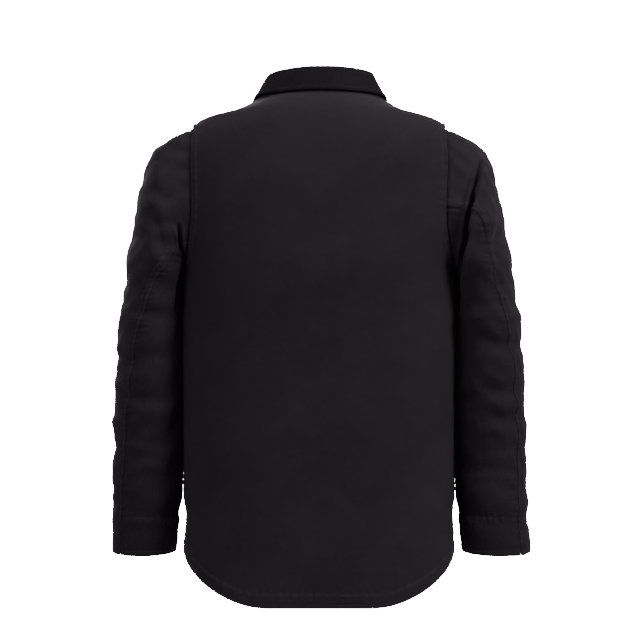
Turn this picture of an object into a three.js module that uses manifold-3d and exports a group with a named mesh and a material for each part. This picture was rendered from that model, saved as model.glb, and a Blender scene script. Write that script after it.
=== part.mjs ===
// Zip-fronted canvas work jacket with a corduroy collar and a drop tail.
// Millimetres, +Z up, the wearer's front towards -Y and the wearer's left towards +X.
// The shapes are worked out with z = 0 at the lowest point of the back hem, and the whole
// jacket is then moved so that the origin is the underside of the hanger loop.
import * as THREE from "three";
import { mergeVertices } from "three/addons/utils/BufferGeometryUtils.js";
import Module from "manifold-3d";

// Overall sizes.
const backLength = 778; // back neck seam to the lowest point of the back hem
const shoulderDrop = 62; // back neck seam down to the shoulder point
const armholeDepth = 219;
const sideHemHeight = 82; // side seam's hem above the back hem
const tailPower = 1.6; // how late the tail's curve rises
const frontHemDip = 8;
const hemHalfWidth = 201;
const waistHalfWidth = 198;
const chestHalfWidth = 203;
const bladeHalfWidth = 221;
const shoulderHalfWidth = 188;
const neckHalfWidth = 85;
const hemBackDepth = 128;
const bladeBackDepth = 139;
const neckBackDepth = 80;
const frontHemDepth = 130; // centre front line at the front hem
const frontNeckDepth = 74; // centre front line at the neck
const frontNeckDrop = 78; // front neck seam below the back neck seam
const sleeveDrop = 632; // shoulder point down to the cuff
const bicepDepth = 82; // half the sleeve's size from front to back
const cuffHalfWidth = 47.5;
const cuffHalfDepth = 45;
const cuffCentre = 262.5;
const collarStand = 32;

// Cloth, clearances and small parts.
const canvas = 2.2;
const lining = 1.2;
const gap = 0.4; // between pieces that touch
const layerGap = 2; // between the shell and what lies inside it
const hemDepth = 20;
const cuffDepth = 52;
const frontEdge = 7; // half the space between the two fronts
const facingWidth = 55;
const pocketDepth = 12;
const snapRadius = 7.5;
const rivetRadius = 4.5;
const teethPitch = 10;
const teethHalfWidth = 4.6;
const tapeWidth = 20;
const sliderWidth = 11.6;
const sliderLength = 15;
const pullLength = 34;
const loopWidth = 50;
const loopRise = 14;
const loopTape = 8; // width of the loop's tape
const loopThickness = 1.6;

const shoulderHeight = backLength - shoulderDrop;
const underarmHeight = shoulderHeight - armholeDepth;
const frontNeckHeight = backLength - frontNeckDrop;
const cuffHeight = shoulderHeight - sleeveDrop;
const liningStart = canvas + layerGap;

const rad = (degrees) => (degrees * Math.PI) / 180;
const mix = (a, b, t) => a + (b - a) * t;
const smooth = (a, b, x) => THREE.MathUtils.smoothstep(x, a, b);

// The centre front is one straight line, so that the zip can run down it.
function frontLine(z) {
  return -mix(frontHemDepth, frontNeckDepth, (z - sideHemHeight) / (frontNeckHeight - sideHemHeight));
}

// Levels of the body from hem to neck. side is the ring's height at the side; lift and bow
// raise its back and lower its front; full is the superellipse's exponent.
const chestLevel = (share) => mix(sideHemHeight, underarmHeight, share);
const armLevel = (share) => mix(underarmHeight, shoulderHeight, share);
const levels = [
  { side: sideHemHeight, half: hemHalfWidth, back: hemBackDepth, full: 2.7, lift: 0, bow: 0 },
  { side: chestLevel(0.27), half: waistHalfWidth, back: 126, full: 2.6, lift: 0, bow: 0 },
  { side: chestLevel(0.6), half: waistHalfWidth + 2, back: 128, full: 2.6, lift: 0, bow: 0 },
  { side: chestLevel(0.84), half: chestHalfWidth - 1.5, back: 133, full: 2.5, lift: 0, bow: 0 },
  { side: underarmHeight + 3, half: chestHalfWidth, back: 137, full: 2.5, lift: 0, bow: 0 },
  { side: armLevel(0.35), half: bladeHalfWidth - 2, back: bladeBackDepth, full: 2.5, lift: 0, bow: 0 },
  { side: armLevel(0.63), half: bladeHalfWidth, back: bladeBackDepth - 1, full: 2.5, lift: 6, bow: 0 },
  { side: armLevel(0.88), half: bladeHalfWidth - 9, back: 131, full: 2.45, lift: 20, bow: -3.5 },
  { side: shoulderHeight, half: shoulderHalfWidth, back: 120, full: 2.35, lift: 31, bow: -5 },
  {
    side: shoulderHeight + 21,
    half: mix(neckHalfWidth, shoulderHalfWidth, 0.58),
    back: 103,
    full: 2.2,
    lift: 37.5,
    bow: -9.5,
  },
  {
    side: shoulderHeight + 42,
    half: neckHalfWidth,
    back: neckBackDepth,
    full: 2.1,
    lift: frontNeckDrop / 2,
    bow: backLength - frontNeckDrop / 2 - shoulderHeight - 42,
  },
];
const neckLevel = levels.length - 1;
const shoulderLevel = 8;

// Catmull-Rom through the keys' values of one field.
function along(keys, place, field) {
  const last = keys.length - 1;
  const low = Math.min(last - 1, Math.max(0, Math.floor(place)));
  const value = (index) => keys[Math.min(last, Math.max(0, index))][field];
  const t = place - low;
  const [a, b, c, d] = [value(low - 1), value(low), value(low + 1), value(low + 2)];
  return b + 0.5 * t * (c - a + t * (2 * a - 5 * b + 4 * c - d + t * (3 * (b - c) + d - a)));
}

// Height of the hem at an angle round the body; 90 degrees is the centre back.
function hemHeight(angle) {
  const fromBack = Math.abs(THREE.MathUtils.euclideanModulo(angle - 90 + 180, 360) - 180);
  const tail = sideHemHeight * Math.pow(smooth(25, 90, fromBack), tailPower);
  return tail - frontHemDip * smooth(90, 180, fromBack);
}

// A point of the body's outer surface, from the angle round it and the level.
function bodySurface(angle, level) {
  const side = along(levels, level, "side");
  const half = along(levels, level, "half");
  const back = along(levels, level, "back");
  const full = along(levels, level, "full");
  const lift = along(levels, level, "lift");
  const bow = along(levels, level, "bow");
  const front = frontLine(side - lift + bow);
  const deep = (back - front) / 2;
  const [c, s] = [Math.cos(rad(angle)), Math.sin(rad(angle))];
  const reach = Math.pow(Math.pow(Math.abs(c / half), full) + Math.pow(Math.abs(s / deep), full), -1 / full);
  const eta = (reach * s) / deep;
  const lower = 1 - smooth(0, 1, level);
  const height = side + lift * eta + bow * eta * eta + lower * (hemHeight(angle) - sideHemHeight);
  return new THREE.Vector3(reach * c, (back + front) / 2 + reach * s, height);
}

// The level at which a line of constant angle reaches a height.
function levelAt(angle, height) {
  let low = 0;
  let high = neckLevel;
  for (let step = 0; step < 30; step++) {
    const middle = (low + high) / 2;
    if (bodySurface(angle, middle).z < height) low = middle;
    else high = middle;
  }
  return low;
}

// The angle beside the centre front, on the side given by its sign, at a distance from it.
function frontAngle(x, level) {
  const height = bodySurface(-90, level);
  const back = along(levels, level, "back");
  const turn = (Math.atan(x / ((back - height.y) / 2)) * 180) / Math.PI;
  return -90 + turn;
}

// A surface moved inwards by a depth along its normal.
function offset(surface, a, b, depth, stepA, stepB) {
  const point = surface(a, b);
  if (depth === 0) return point;
  const across = surface(a + stepA, b).sub(surface(a - stepA, b));
  const up = surface(a, b + stepB).sub(surface(a, b - stepB));
  return point.addScaledVector(across.cross(up).normalize(), -depth);
}

// A closed solid from points and triangles, turned so that its faces point out.
function solid(points, triangles) {
  let volume = 0;
  for (const [a, b, c] of triangles) volume += points[a].dot(points[b].clone().cross(points[c]));
  const index = triangles.flatMap(([a, b, c]) => (volume > 0 ? [a, b, c] : [a, c, b]));
  const geometry = new THREE.BufferGeometry();
  geometry.setAttribute("position", new THREE.Float32BufferAttribute(points.flatMap((p) => p.toArray()), 3));
  geometry.setIndex(index);
  return geometry;
}

// A sheet of cloth between two depths. place(u, v, depth) gives its points; a tube joins u = 1 to u = 0.
function sheet(place, columns, rows, outer, inner, tube = false) {
  const points = [];
  const triangles = [];
  const width = tube ? columns : columns + 1;
  const layer = width * (rows + 1);
  for (const depth of [outer, inner]) {
    for (let j = 0; j <= rows; j++) {
      for (let i = 0; i < width; i++) points.push(place(i / columns, j / rows, depth));
    }
  }
  const quad = (a, b, c, d) => triangles.push([a, b, c], [a, c, d]);
  const at = (i, j) => j * width + (i % width);
  for (let j = 0; j < rows; j++) {
    for (let i = 0; i < columns; i++) {
      quad(at(i, j), at(i + 1, j), at(i + 1, j + 1), at(i, j + 1));
      quad(layer + at(i, j), layer + at(i, j + 1), layer + at(i + 1, j + 1), layer + at(i + 1, j));
    }
  }
  for (let i = 0; i < columns; i++) {
    quad(at(i + 1, 0), at(i, 0), layer + at(i, 0), layer + at(i + 1, 0));
    quad(at(i, rows), at(i + 1, rows), layer + at(i + 1, rows), layer + at(i, rows));
  }
  for (let j = 0; j < rows && !tube; j++) {
    quad(at(0, j), at(0, j + 1), layer + at(0, j + 1), layer + at(0, j));
    quad(at(columns, j + 1), at(columns, j), layer + at(columns, j), layer + at(columns, j + 1));
  }
  return solid(points, triangles);
}

const library = await Module();
library.setup();

function toManifold(geometry) {
  const bare = geometry.clone();
  bare.deleteAttribute("normal");
  bare.deleteAttribute("uv");
  const merged = mergeVertices(bare, 1e-4);
  return new library.Manifold(
    new library.Mesh({
      numProp: 3,
      vertProperties: new Float32Array(merged.attributes.position.array),
      triVerts: new Uint32Array(merged.index.array),
    }),
  );
}

function fromManifold(body) {
  const mesh = body.getMesh();
  const geometry = new THREE.BufferGeometry();
  geometry.setAttribute("position", new THREE.BufferAttribute(new Float32Array(mesh.vertProperties), 3));
  geometry.setIndex(new THREE.BufferAttribute(new Uint32Array(mesh.triVerts), 1));
  return geometry;
}

const cut = (geometry, ...tools) =>
  fromManifold(tools.reduce((body, tool) => body.subtract(toManifold(tool)), toManifold(geometry)));

// Materials.
const material = (color, roughness, metalness = 0) =>
  new THREE.MeshStandardMaterial({ color, roughness, metalness, side: THREE.DoubleSide });
const shellCloth = material(0x27242a, 0.92);
const corduroy = material(0x1c191e, 0.97);
const liningCloth = material(0x3a3b3f, 0.85);
const tapeCloth = material(0x17161a, 0.9);
const zipMetal = material(0x8a8378, 0.38, 0.9);
const snapMetal = material(0x3b3835, 0.42, 0.85);
const labelCloth = material(0x8d8a84, 0.8);

const jacket = new THREE.Group();
function add(name, geometry, look, parent = jacket) {
  const mesh = new THREE.Mesh(geometry, look);
  mesh.name = name;
  parent.add(mesh);
  return mesh;
}

// The plane of an armhole, from the shoulder point down to the underarm.
const armholeLean = (chestHalfWidth + 1.5 - shoulderHalfWidth) / armholeDepth;
const armholeX = (z) => shoulderHalfWidth + (shoulderHeight - z) * armholeLean;

// A block on one side of an armhole's plane: beyond it from the body, or within it where
// it trims the sleeve's head.
const blockSize = 400;
function armholeBlock(side, within, distance) {
  const block = new THREE.BoxGeometry(blockSize, 2 * blockSize, (within ? 1 : 2) * blockSize);
  block.translate((within ? -1 : 1) * (blockSize / 2) + distance, 0, within ? blockSize / 2 - 4 : 0);
  block.rotateY(-Math.atan(armholeLean));
  block.translate(armholeX(underarmHeight), 0, underarmHeight);
  if (side < 0) block.rotateZ(Math.PI);
  return block;
}

const bodyPoint = (angle, level, depth) => offset(bodySurface, angle, level, depth, 0.4, 0.02);
const mirrorAngle = (angle, side) => (side > 0 ? angle : 180 - angle);
const seamTurn = 0.07; // half the space at a side seam, in degrees

// Back panel, its lining and its facings.
function addBack() {
  const across = (u) => mix(seamTurn, 180 - seamTurn, u);
  const panel = sheet((u, v, depth) => bodyPoint(across(u), v * neckLevel, depth), 22, 20, 0, canvas);
  add("back_panel", cut(panel, armholeBlock(1, false, 0), armholeBlock(-1, false, 0)), shellCloth);
  const hemTop = (angle) => levelAt(angle, hemHeight(angle) + hemDepth);
  const facing = (u, v, depth) => bodyPoint(across(u), mix(0.012, hemTop(across(u)), v), depth);
  add("back_hem_facing", sheet(facing, 20, 1, liningStart, liningStart + lining), shellCloth);
  const neckFacingLevel = (angle) => levelAt(angle, bodySurface(angle, neckLevel).z - 46);
  const neckAcross = (u) => mix(35, 145, u);
  const neckFacing = (u, v, depth) =>
    bodyPoint(neckAcross(u), mix(neckFacingLevel(90) + 0.02, neckLevel - 0.01, v), depth);
  add("back_neck_facing", sheet(neckFacing, 14, 3, liningStart, liningStart + lining), shellCloth);
  const liningPlace = (u, v, depth) => {
    const angle = mix(1, 179, u);
    return bodyPoint(angle, mix(hemTop(angle) + 0.02, neckFacingLevel(90), v), depth);
  };
  const back = sheet(liningPlace, 14, 10, liningStart, liningStart + lining);
  add("back_lining", cut(back, armholeBlock(1, false, -2), armholeBlock(-1, false, -2)), liningCloth);
}

// One front with its facings and lining. side is 1 on the wearer's left.
function addFront(side, name) {
  const place = (edge) => (u, v, depth, low, high) => {
    const level = mix(low, high, v);
    const angle = mix(frontAngle(edge, level), -seamTurn, u);
    return bodyPoint(mirrorAngle(angle, side), level, depth);
  };
  const panelPlace = place(frontEdge);
  const panel = sheet((u, v, depth) => panelPlace(u, v, depth, 0, neckLevel), 11, 20, 0, canvas);
  add(`front_panel_${name}`, cut(panel, armholeBlock(side, false, 0)), shellCloth);

  const facingPlace = (u, v, depth) => {
    const level = mix(0.012, neckLevel - 0.01, v);
    return bodyPoint(mirrorAngle(frontAngle(mix(frontEdge + 2, frontEdge + facingWidth, u), level), side), level, depth);
  };
  const facingOuter = liningStart + lining + layerGap;
  add(`front_facing_${name}`, sheet(facingPlace, 2, 14, facingOuter, facingOuter + lining), shellCloth);

  const beyondFacing = frontEdge + facingWidth + 2;
  const hemTop = levelAt(-60, hemHeight(-60) + hemDepth);
  const linePlace = place(beyondFacing);
  const hem = sheet((u, v, depth) => linePlace(u, v, depth, 0.012, hemTop), 8, 1, liningStart, liningStart + lining);
  add(`front_hem_facing_${name}`, hem, shellCloth);
  const inside = (u, v, depth) => linePlace(u * 0.985, v, depth, hemTop + 0.03, neckLevel - 0.05);
  const front = sheet(inside, 7, 10, liningStart, liningStart + lining);
  add(`front_lining_${name}`, cut(front, armholeBlock(side, false, -2)), liningCloth);
}

addBack();
for (const [side, name] of [[1, "left"], [-1, "right"]]) addFront(side, name);

// Rings of a sleeve from the armhole to the cuff: its inner and outer points, its half
// size from front to back, and the place of its middle from front to back.
const armRise = (share) => mix(underarmHeight, shoulderHeight, share);
const armFall = (share) => mix(underarmHeight, cuffHeight, share);
const sideClear = chestHalfWidth + 4;
const cuffIn = cuffCentre - cuffHalfWidth;
const cuffOut = cuffCentre + cuffHalfWidth;
const sleeveGap = 0.5; // from the armhole's plane
const rings = [
  {
    ix: armholeX(underarmHeight) + sleeveGap,
    iz: underarmHeight,
    ox: shoulderHalfWidth + sleeveGap,
    oz: shoulderHeight,
    deep: 62,
    mid: 29,
  },
  { ix: sideClear, iz: armFall(0.005), ox: shoulderHalfWidth + 40, oz: armRise(0.917), deep: 72, mid: 28 },
  { ix: sideClear, iz: armFall(0.01), ox: shoulderHalfWidth + 62, oz: armRise(0.836), deep: 78, mid: 27 },
  { ix: sideClear, iz: armFall(0.018), ox: shoulderHalfWidth + 76, oz: armRise(0.67), deep: 82, mid: 25 },
  { ix: sideClear, iz: armFall(0.03), ox: mix(shoulderHalfWidth, cuffOut, 0.74), oz: armRise(0.345), deep: bicepDepth, mid: 22 },
  { ix: sideClear, iz: armFall(0.055), ox: mix(shoulderHalfWidth, cuffOut, 0.83), oz: armFall(0), deep: bicepDepth - 4, mid: 18 },
  { ix: sideClear - 0.5, iz: armFall(0.17), ox: mix(shoulderHalfWidth, cuffOut, 0.9), oz: armFall(0.14), deep: 72, mid: 13 },
  { ix: sideClear - 1, iz: armFall(0.28), ox: mix(shoulderHalfWidth, cuffOut, 0.94), oz: armFall(0.26), deep: 68, mid: 8 },
  { ix: sideClear - 1, iz: armFall(0.45), ox: mix(shoulderHalfWidth, cuffOut, 0.97), oz: armFall(0.43), deep: 63, mid: 2 },
  { ix: sideClear, iz: armFall(0.66), ox: cuffOut - 1, oz: armFall(0.65), deep: 56, mid: -6 },
  { ix: mix(sideClear, cuffIn, 0.35), iz: armFall(0.87), ox: cuffOut, oz: armFall(0.865), deep: 49, mid: -14 },
  { ix: cuffIn, iz: cuffHeight + 2, ox: cuffOut, oz: cuffHeight, deep: cuffHalfDepth, mid: -20 },
];
const cuffRing = rings.length - 1;

// A point of the left sleeve's outer surface; 0 degrees is its outer side and 90 its back.
function sleeveSurface(angle, ring) {
  const at = (field) => along(rings, ring, field);
  const [c, s] = [Math.cos(rad(angle)), Math.sin(rad(angle))];
  const share = (1 + c) / 2;
  return new THREE.Vector3(mix(at("ix"), at("ox"), share), at("mid") + at("deep") * s, mix(at("iz"), at("oz"), share));
}

// Rings run downwards here, which turns the normal round, so the depth changes sign.
const sleevePoint = (angle, ring, depth) => offset(sleeveSurface, angle, ring, -depth, 0.5, 0.02);
const flip = (point, side) => point.set(point.x * side, point.y, point.z);

// The back seam turns outwards on its way down; the front seam stays under the arm.
const backSeam = (ring) => mix(95, 47, smooth(0, 9, ring));
const frontSeam = (ring) => mix(-112, -104, ring / cuffRing);

function addSleeve(side, name) {
  const strip = (from, to, first, last) => (u, v, depth) => {
    const ring = mix(first, last, v);
    return flip(sleevePoint(mix(from(ring), to(ring), u), ring, depth), side);
  };
  const turn = 0.25; // half the space at a sleeve seam, in degrees
  const top = strip((r) => frontSeam(r) + turn, (r) => backSeam(r) - turn, 0, cuffRing);
  const under = strip((r) => backSeam(r) + turn, (r) => 360 + frontSeam(r) - turn, 0, cuffRing);
  const body = armholeBlock(side, true, sleeveGap);
  add(`top_sleeve_${name}`, cut(sheet(top, 10, 16, 0, canvas), body), shellCloth);
  add(`under_sleeve_${name}`, cut(sheet(under, 8, 16, 0, canvas), body), shellCloth);
  const round = (first, last) => strip(() => 0, () => 360, first, last);
  const cuffTop = cuffRing - cuffDepth / ((underarmHeight - cuffHeight) * 0.132);
  const facing = sheet(round(cuffTop, cuffRing - 0.03), 14, 1, liningStart, liningStart + lining, true);
  add(`cuff_facing_${name}`, facing, shellCloth);
  const inside = sheet(round(1, cuffTop - 0.03), 12, 8, liningStart, liningStart + lining, true);
  add(`sleeve_lining_${name}`, inside, liningCloth);
}
for (const [side, name] of [[1, "left"], [-1, "right"]]) addSleeve(side, name);

// Collar: a stand that rises from the neck seam, and a leaf that falls from it.
const collarEnd = 6; // degrees from the centre front
const pointSpread = 27; // degrees that the leaf's points spread from the centre front
const frontness = (angle) => smooth(90, 172, Math.abs(THREE.MathUtils.euclideanModulo(angle + 90, 360) - 180));
const collarAngle = (u) => mix(-90 + collarEnd, 270 - collarEnd, u);

function rollPoint(angle) {
  const seam = bodySurface(angle, neckLevel);
  const front = 1 - smooth(0, 90, Math.abs(THREE.MathUtils.euclideanModulo(angle + 270, 360) - 180));
  const rise = mix(collarStand * 0.62, collarStand, 1 - front);
  return new THREE.Vector3(seam.x * 0.94, mix(seam.y, 3, 0.03), seam.z + rise + 2);
}

function standSurface(angle, v) {
  const seam = bodyPoint(angle, neckLevel, 0);
  seam.z += gap + 1;
  return seam.lerp(rollPoint(angle), v);
}

function leafEdge(u) {
  const plain = collarAngle(u);
  const front = smooth(40, 172, Math.abs(THREE.MathUtils.euclideanModulo(plain + 90, 360) - 180));
  const angle = mix(plain, plain < 90 ? -90 + pointSpread : 270 - pointSpread, Math.pow(front, 3));
  return bodyPoint(angle, neckLevel - mix(0.33, 3.2, Math.pow(front, 2)), -5);
}

function leafSurface(u, v) {
  const top = rollPoint(collarAngle(u));
  const seam = bodySurface(collarAngle(u), neckLevel);
  const away = new THREE.Vector3(seam.x, seam.y - 3, 0).normalize();
  top.addScaledVector(away, 2.2);
  const shoulder = top.clone().addScaledVector(away, 7);
  shoulder.z += 1;
  const edge = leafEdge(u);
  return new THREE.QuadraticBezierCurve3(top, shoulder, edge).getPoint(v);
}

function addCollar() {
  const stand = (u, v, depth) => offset(standSurface, collarAngle(u), mix(0.02, 0.98, v), depth, 0.5, 0.01);
  add("collar_stand", sheet(stand, 22, 1, 0, canvas), corduroy);
  const leaf = (u, v, depth) => offset(leafSurface, mix(0.004, 0.996, u), mix(0.02, 1, v), depth, 0.003, 0.01);
  add("collar_leaf", sheet(leaf, 26, 4, 0, -2.6), corduroy);
}
addCollar();

// A patch of one front between two distances from the centre and two heights.
function frontPatch(side, x, z) {
  return (u, v, depth) => {
    const level = levelAt(-75, mix(z[0], z[1], v));
    const angle = frontAngle(mix(x[0], x[1], u), level);
    return bodyPoint(mirrorAngle(angle, side), level, depth);
  };
}

// A patch pocket: a shallow bag, open at the top and towards the cloth that it is sewn to.
// near and far are the depths of its mouth rim and of its face.
const pocketWall = 1.8;
function pocketBag(side, x, z, near, far) {
  const away = Math.sign(far - near);
  const bag = sheet(frontPatch(side, x, z), 5, 3, near, far);
  const inside = frontPatch(side, [x[0] + 2 * pocketWall, x[1] - 2 * pocketWall], [z[0] + 2 * pocketWall, z[1] + 9]);
  return cut(bag, sheet(inside, 5, 3, near - 3 * away, far - pocketWall * away));
}

// A round piece, given by its outline, standing on a front with its axis along the normal.
function onFront(side, x, z, depth, outline) {
  const place = frontPatch(side, [x - 1, x + 1], [z - 1, z + 1]);
  const normal = place(0.5, 0.5, -1).sub(place(0.5, 0.5, 0)).normalize();
  const disc = new THREE.LatheGeometry(outline.map(([r, h]) => new THREE.Vector2(r, h)), 10);
  disc.applyQuaternion(new THREE.Quaternion().setFromUnitVectors(new THREE.Vector3(0, 1, 0), normal));
  const foot = place(0.5, 0.5, -depth);
  return disc.translate(foot.x, foot.y, foot.z);
}
const dome = (radius, height) => [[0, 0], [radius, 0], [radius, height * 0.45], [radius * 0.7, height], [0, height]];

// Chest pockets with a flap and a snap each, and hand pockets with a rivet at each corner.
const standOff = 1.3; // clears the facets of the cloth beneath
const chestX = [66, 158];
const chestZ = [shoulderHeight - 228, shoulderHeight - 104];
const flapDrop = 44;
const flapRoom = 3.4;
const handX = [48, 160];
const handZ = [sideHemHeight + 44, sideHemHeight + 214];
const snapInset = 12; // snap's centre above the flap's free edge

function addPockets(side, name) {
  add(`chest_pocket_${name}`, pocketBag(side, chestX, chestZ, -standOff, -pocketDepth), shellCloth);
  const flapX = [chestX[0] - 3, chestX[1] + 3];
  const flapZ = [chestZ[1] + 10 - flapDrop, chestZ[1] + 10];
  const flapIn = pocketDepth + flapRoom;
  const flap = sheet(frontPatch(side, flapX, flapZ), 6, 1, -flapIn, -flapIn - canvas);
  add(`chest_flap_${name}`, flap, shellCloth);
  const middle = (chestX[0] + chestX[1]) / 2;
  const snapZ = flapZ[0] + snapInset;
  const capFoot = flapIn + canvas + standOff;
  add(`chest_snap_cap_${name}`, onFront(side, middle, snapZ, capFoot, dome(snapRadius, 2.6)), snapMetal);
  const studFoot = pocketDepth + gap;
  add(`chest_snap_stud_${name}`, onFront(side, middle, snapZ, studFoot, dome(snapRadius * 0.6, 1.9)), snapMetal);

  add(`hand_pocket_${name}`, pocketBag(side, handX, handZ, -standOff, -pocketDepth), shellCloth);
  for (const [x, corner] of [[handX[0] - 9, "front"], [handX[1] + 10, "side"]]) {
    const rivet = onFront(side, x, handZ[1] - 8, standOff, dome(rivetRadius, 1.8));
    add(`pocket_rivet_${corner}_${name}`, rivet, snapMetal);
  }
}
for (const [side, name] of [[1, "left"], [-1, "right"]]) addPockets(side, name);

const insideDepth = liningStart + lining + standOff;
const innerX = [74, 150];
const innerZ = [shoulderHeight - 330, shoulderHeight - 196];
add("inner_pocket", pocketBag(1, innerX, innerZ, insideDepth, insideDepth + pocketDepth), liningCloth);

// The zip stands in a frame of its own: z runs up the straight centre front and y inwards.
const zipBottom = sideHemHeight + 2;
const zipTop = frontNeckHeight - 20;
const lean = Math.atan((frontHemDepth - frontNeckDepth) / (frontNeckHeight - sideHemHeight));
const zipLength = (zipTop - zipBottom) / Math.cos(lean);
const teethDepth = canvas + 0.2;
const zip = new THREE.Group();
zip.position.set(0, frontLine(zipBottom), zipBottom);
zip.rotation.x = -lean;
jacket.add(zip);

function block(x, y, z) {
  const box = new THREE.BoxGeometry(x[1] - x[0], y[1] - y[0], z[1] - z[0]);
  return box.translate((x[0] + x[1]) / 2, (y[0] + y[1]) / 2, (z[0] + z[1]) / 2);
}

// One row of teeth on its cord, as a comb; the other row fills its spaces.
function teethRow(side) {
  const toothReach = 2.2;
  const toothHeight = teethPitch / 2 - 0.6;
  const cordInside = teethHalfWidth - 2;
  const outline = new THREE.Shape();
  outline.moveTo(side * teethHalfWidth, 0);
  outline.lineTo(side * cordInside, 0);
  const first = side > 0 ? 0.3 : teethPitch / 2 + 0.3;
  for (let z = first; z + toothHeight < zipLength - 1; z += teethPitch) {
    outline.lineTo(side * cordInside, z);
    outline.lineTo(-side * toothReach, z);
    outline.lineTo(-side * toothReach, z + toothHeight);
    outline.lineTo(side * cordInside, z + toothHeight);
  }
  outline.lineTo(side * cordInside, zipLength);
  outline.lineTo(side * teethHalfWidth, zipLength);
  const row = new THREE.ExtrudeGeometry(outline, { depth: teethDepth, bevelEnabled: false });
  return row.rotateX(Math.PI / 2).translate(0, teethDepth, 0);
}

function addZip() {
  for (const [side, name] of [[1, "left"], [-1, "right"]]) {
    const spread = (low, high) => (side > 0 ? [low, high] : [-high, -low]);
    const tapeY = [teethDepth + 0.6, teethDepth + 1.4];
    add(`zip_tape_${name}`, block(spread(0.6, tapeWidth), tapeY, [-4, zipLength + 4]), tapeCloth, zip);
    add(`zip_teeth_${name}`, teethRow(side), zipMetal, zip);
    const stop = block(spread(0.6, teethHalfWidth), [0, teethDepth], [zipLength + 0.5, zipLength + 4]);
    add(`zip_top_stop_${name}`, stop, zipMetal, zip);
  }
  add("zip_bottom_box", block([-6, 6], [-0.6, teethDepth], [-8, -gap]), zipMetal, zip);
  const flapY = [teethDepth + 2.2, teethDepth + 3.6];
  add("inner_wind_flap", block([-27, 27], flapY, [8, zipLength - 6]), shellCloth, zip);
}
addZip();

// Slider: a channel over the teeth with a bridge, and a pull whose bar passes under it.
const sliderPlace = zipLength - sliderLength / 2 - 3;
const plateOut = -1.9;
const bridgeOut = -5.2;
const bridgeBar = 1;
const bridgeHalf = 5;
const pullAxisY = plateOut - 1.15;
const pullAxisZ = sliderPlace - 2.5;
const pullThickness = 1.2;

function addSlider() {
  const half = sliderWidth / 2;
  const z = [sliderPlace - sliderLength / 2, sliderPlace + sliderLength / 2];
  const pieces = [block([-half, half], [plateOut, -gap], z)];
  for (const side of [1, -1]) {
    const x = side > 0 ? [half - 0.8, half] : [-half, 0.8 - half];
    pieces.push(block(x, [-gap - 0.2, teethDepth - 0.2], z));
    const post = sliderPlace + side * (bridgeHalf - bridgeBar / 2);
    const postZ = [post - bridgeBar / 2, post + bridgeBar / 2];
    pieces.push(block([-1.2, 1.2], [bridgeOut, plateOut + 0.2], postZ));
  }
  const bar = [sliderPlace - bridgeHalf, sliderPlace + bridgeHalf];
  pieces.push(block([-1.2, 1.2], [bridgeOut, bridgeOut + bridgeBar], bar));
  const whole = pieces.map(toManifold).reduce((a, b) => a.add(b));
  add("zip_slider", fromManifold(whole), zipMetal, zip);

  const outline = new THREE.Shape();
  outline.moveTo(-3.2, 0.6);
  outline.lineTo(3.2, 0.6);
  outline.lineTo(4.2, -9.5);
  outline.lineTo(4.2, -pullLength + 3);
  outline.absarc(0, -pullLength + 3, 4.2, 0, -Math.PI, true);
  outline.lineTo(-4.2, -9.5);
  const window = new THREE.Path();
  window.moveTo(-1.8, -0.6);
  window.lineTo(-1.8, -6.8);
  window.lineTo(1.8, -6.8);
  window.lineTo(1.8, -0.6);
  outline.holes.push(window);
  const depth = pullThickness;
  const pull = new THREE.ExtrudeGeometry(outline, { depth, bevelEnabled: false, curveSegments: 8 });
  pull.rotateX(Math.PI / 2).translate(0, pullAxisY + depth / 2, pullAxisZ);
  add("zip_pull", pull, zipMetal, zip);
}
addSlider();

// Hanger loop on the collar stand at the centre back, and a blank label below it.
const loopMiddle = neckBackDepth - 12;
const loopFoot = backLength + 3;
const loopUnderside = loopFoot + loopRise - loopThickness;

function addNeckPieces() {
  const half = loopWidth / 2;
  const top = loopFoot + loopRise;
  const slope = 7;
  const outline = new THREE.Shape();
  outline.moveTo(-half, loopFoot);
  outline.lineTo(-half + slope, top);
  outline.lineTo(half - slope, top);
  outline.lineTo(half, loopFoot);
  outline.lineTo(half - 2 * loopThickness, loopFoot);
  outline.lineTo(half - slope - loopThickness, top - loopThickness);
  outline.lineTo(-half + slope + loopThickness, top - loopThickness);
  outline.lineTo(-half + 2 * loopThickness, loopFoot);
  const loop = new THREE.ExtrudeGeometry(outline, { depth: loopTape, bevelEnabled: false });
  add("hanger_loop", loop.rotateX(Math.PI / 2).translate(0, loopMiddle + loopTape / 2, 0), tapeCloth);
  const bottom = levelAt(90, backLength - 36);
  const topLevel = levelAt(90, backLength - 12);
  const label = (u, v, depth) => bodyPoint(mix(82, 98, u), mix(bottom, topLevel, v), depth);
  const face = liningStart + lining + standOff;
  add("size_label", sheet(label, 4, 3, face, face + 0.8), labelCloth);
}
addNeckPieces();

// The origin is the underside of the loop.
jacket.position.set(0, -loopMiddle, -loopUnderside);

export default jacket;
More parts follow.
